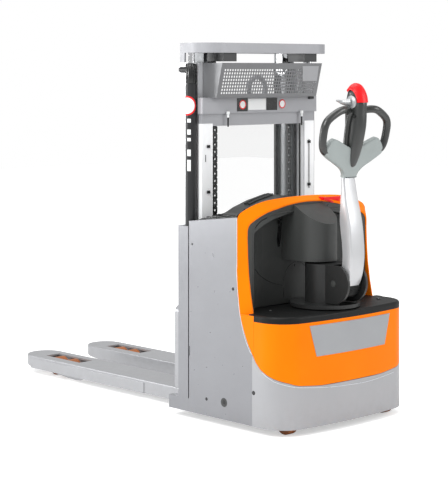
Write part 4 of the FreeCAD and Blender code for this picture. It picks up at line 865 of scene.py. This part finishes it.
# Painted highlight: a light bead along the bumper's top edge
line("bumper_highlight", "bumper_skirt", BUMPER_HIGHLIGHT, 1.7, "edge_highlight", "root", "silver_paint")
spot("bay_screws", BAY, BAY_SCREWS, 4.5, "gloss_black", "root", "steel", 1.6)
spot("shelf_screws", "shelf", SHELF_SCREW, 5.0, "steel", "root", "steel", 1.4)
spot("shelf_plugs", "shelf", SHELF_PLUG, 9.0, "gloss_black", "root", "steel", 4.0)

# Light
def lamp(name, place, target, width, height, watts):
    """A rectangular lamp at a place, turned to a target, all in metres."""
    light = bpy.data.lights.new(name, "AREA")
    light.shape, light.size, light.size_y = "RECTANGLE", width, height
    light.energy = watts
    obj = bpy.data.objects.new(name, light)
    scene.collection.objects.link(obj)
    obj.location = place
    obj.rotation_mode = "QUATERNION"
    obj.rotation_quaternion = (Vector(target) - Vector(place)).to_track_quat("-Z", "Y")


lamp("key", (-3.2, -1.2, 3.4), (0, 0, 0.9), 1.8, 1.8, 105.0)
lamp("side", (2.2, -4.0, 2.4), (0, -0.6, 0.8), 1.8, 2.2, 56.0)
lamp("strip", (-3.6, 3.3, 1.3), (-0.4, -0.2, 0.95), 1.2, 1.0, 75.0)
lamp("top", (0.0, 0.2, 4.4), (0, 0, 0.5), 3.0, 3.0, 80.0)

# The world lights with one strength and shows the camera pure white. The floor glows a little for it too
WORLD_LIGHT = 0.62
WHITE = (1.0, 1.0, 1.0)
FLOOR_HALF, FLOOR_GLOW = 14.0, 0.5

world = bpy.data.worlds.new("studio")
scene.world = world
world.use_nodes = True
sky = Nodes(world.node_tree)
studio = sky.tree.nodes["Background"]
sky.plug(studio.inputs["Color"], WHITE)
sky.plug(studio.inputs["Strength"], WORLD_LIGHT)
light = Sock(sky, studio.outputs["Background"])
backdrop = sky.node("Background", {}, {"Color": WHITE, "Strength": 1.0})
to_camera = sky.node("LightPath", {}, {}, "Is Camera Ray")
choice = sky.node("MixShader", {}, {"Fac": to_camera, "Shader": light, "Shader_001": backdrop})
sky.plug(sky.tree.nodes["World Output"].inputs["Surface"], choice)

ground = Shader("floor")
ground.feed("Base Color", (0.95, 0.95, 0.95))
ground.feed("Roughness", 0.9)
to_camera = ground.node("LightPath", {}, {}, "Is Camera Ray")
glow = ground.node("Emission", {}, {"Strength": to_camera * FLOOR_GLOW})
matt = Sock(ground, ground.base.outputs["BSDF"])
both_shaders = ground.node("AddShader", {}, {"Shader": matt, "Shader_001": glow})
ground.plug(ground.tree.nodes["Material Output"].inputs["Surface"], both_shaders)

floor_mesh = bpy.data.meshes.new("floor")
corners = [(-FLOOR_HALF, -FLOOR_HALF, 0), (FLOOR_HALF, -FLOOR_HALF, 0), (FLOOR_HALF, FLOOR_HALF, 0),
           (-FLOOR_HALF, FLOOR_HALF, 0)]
floor_mesh.from_pydata(corners, [], [(0, 1, 2, 3)])
floor_mesh.materials.append(ground.material)
floor = bpy.data.objects.new("floor", floor_mesh)
scene.collection.objects.link(floor)
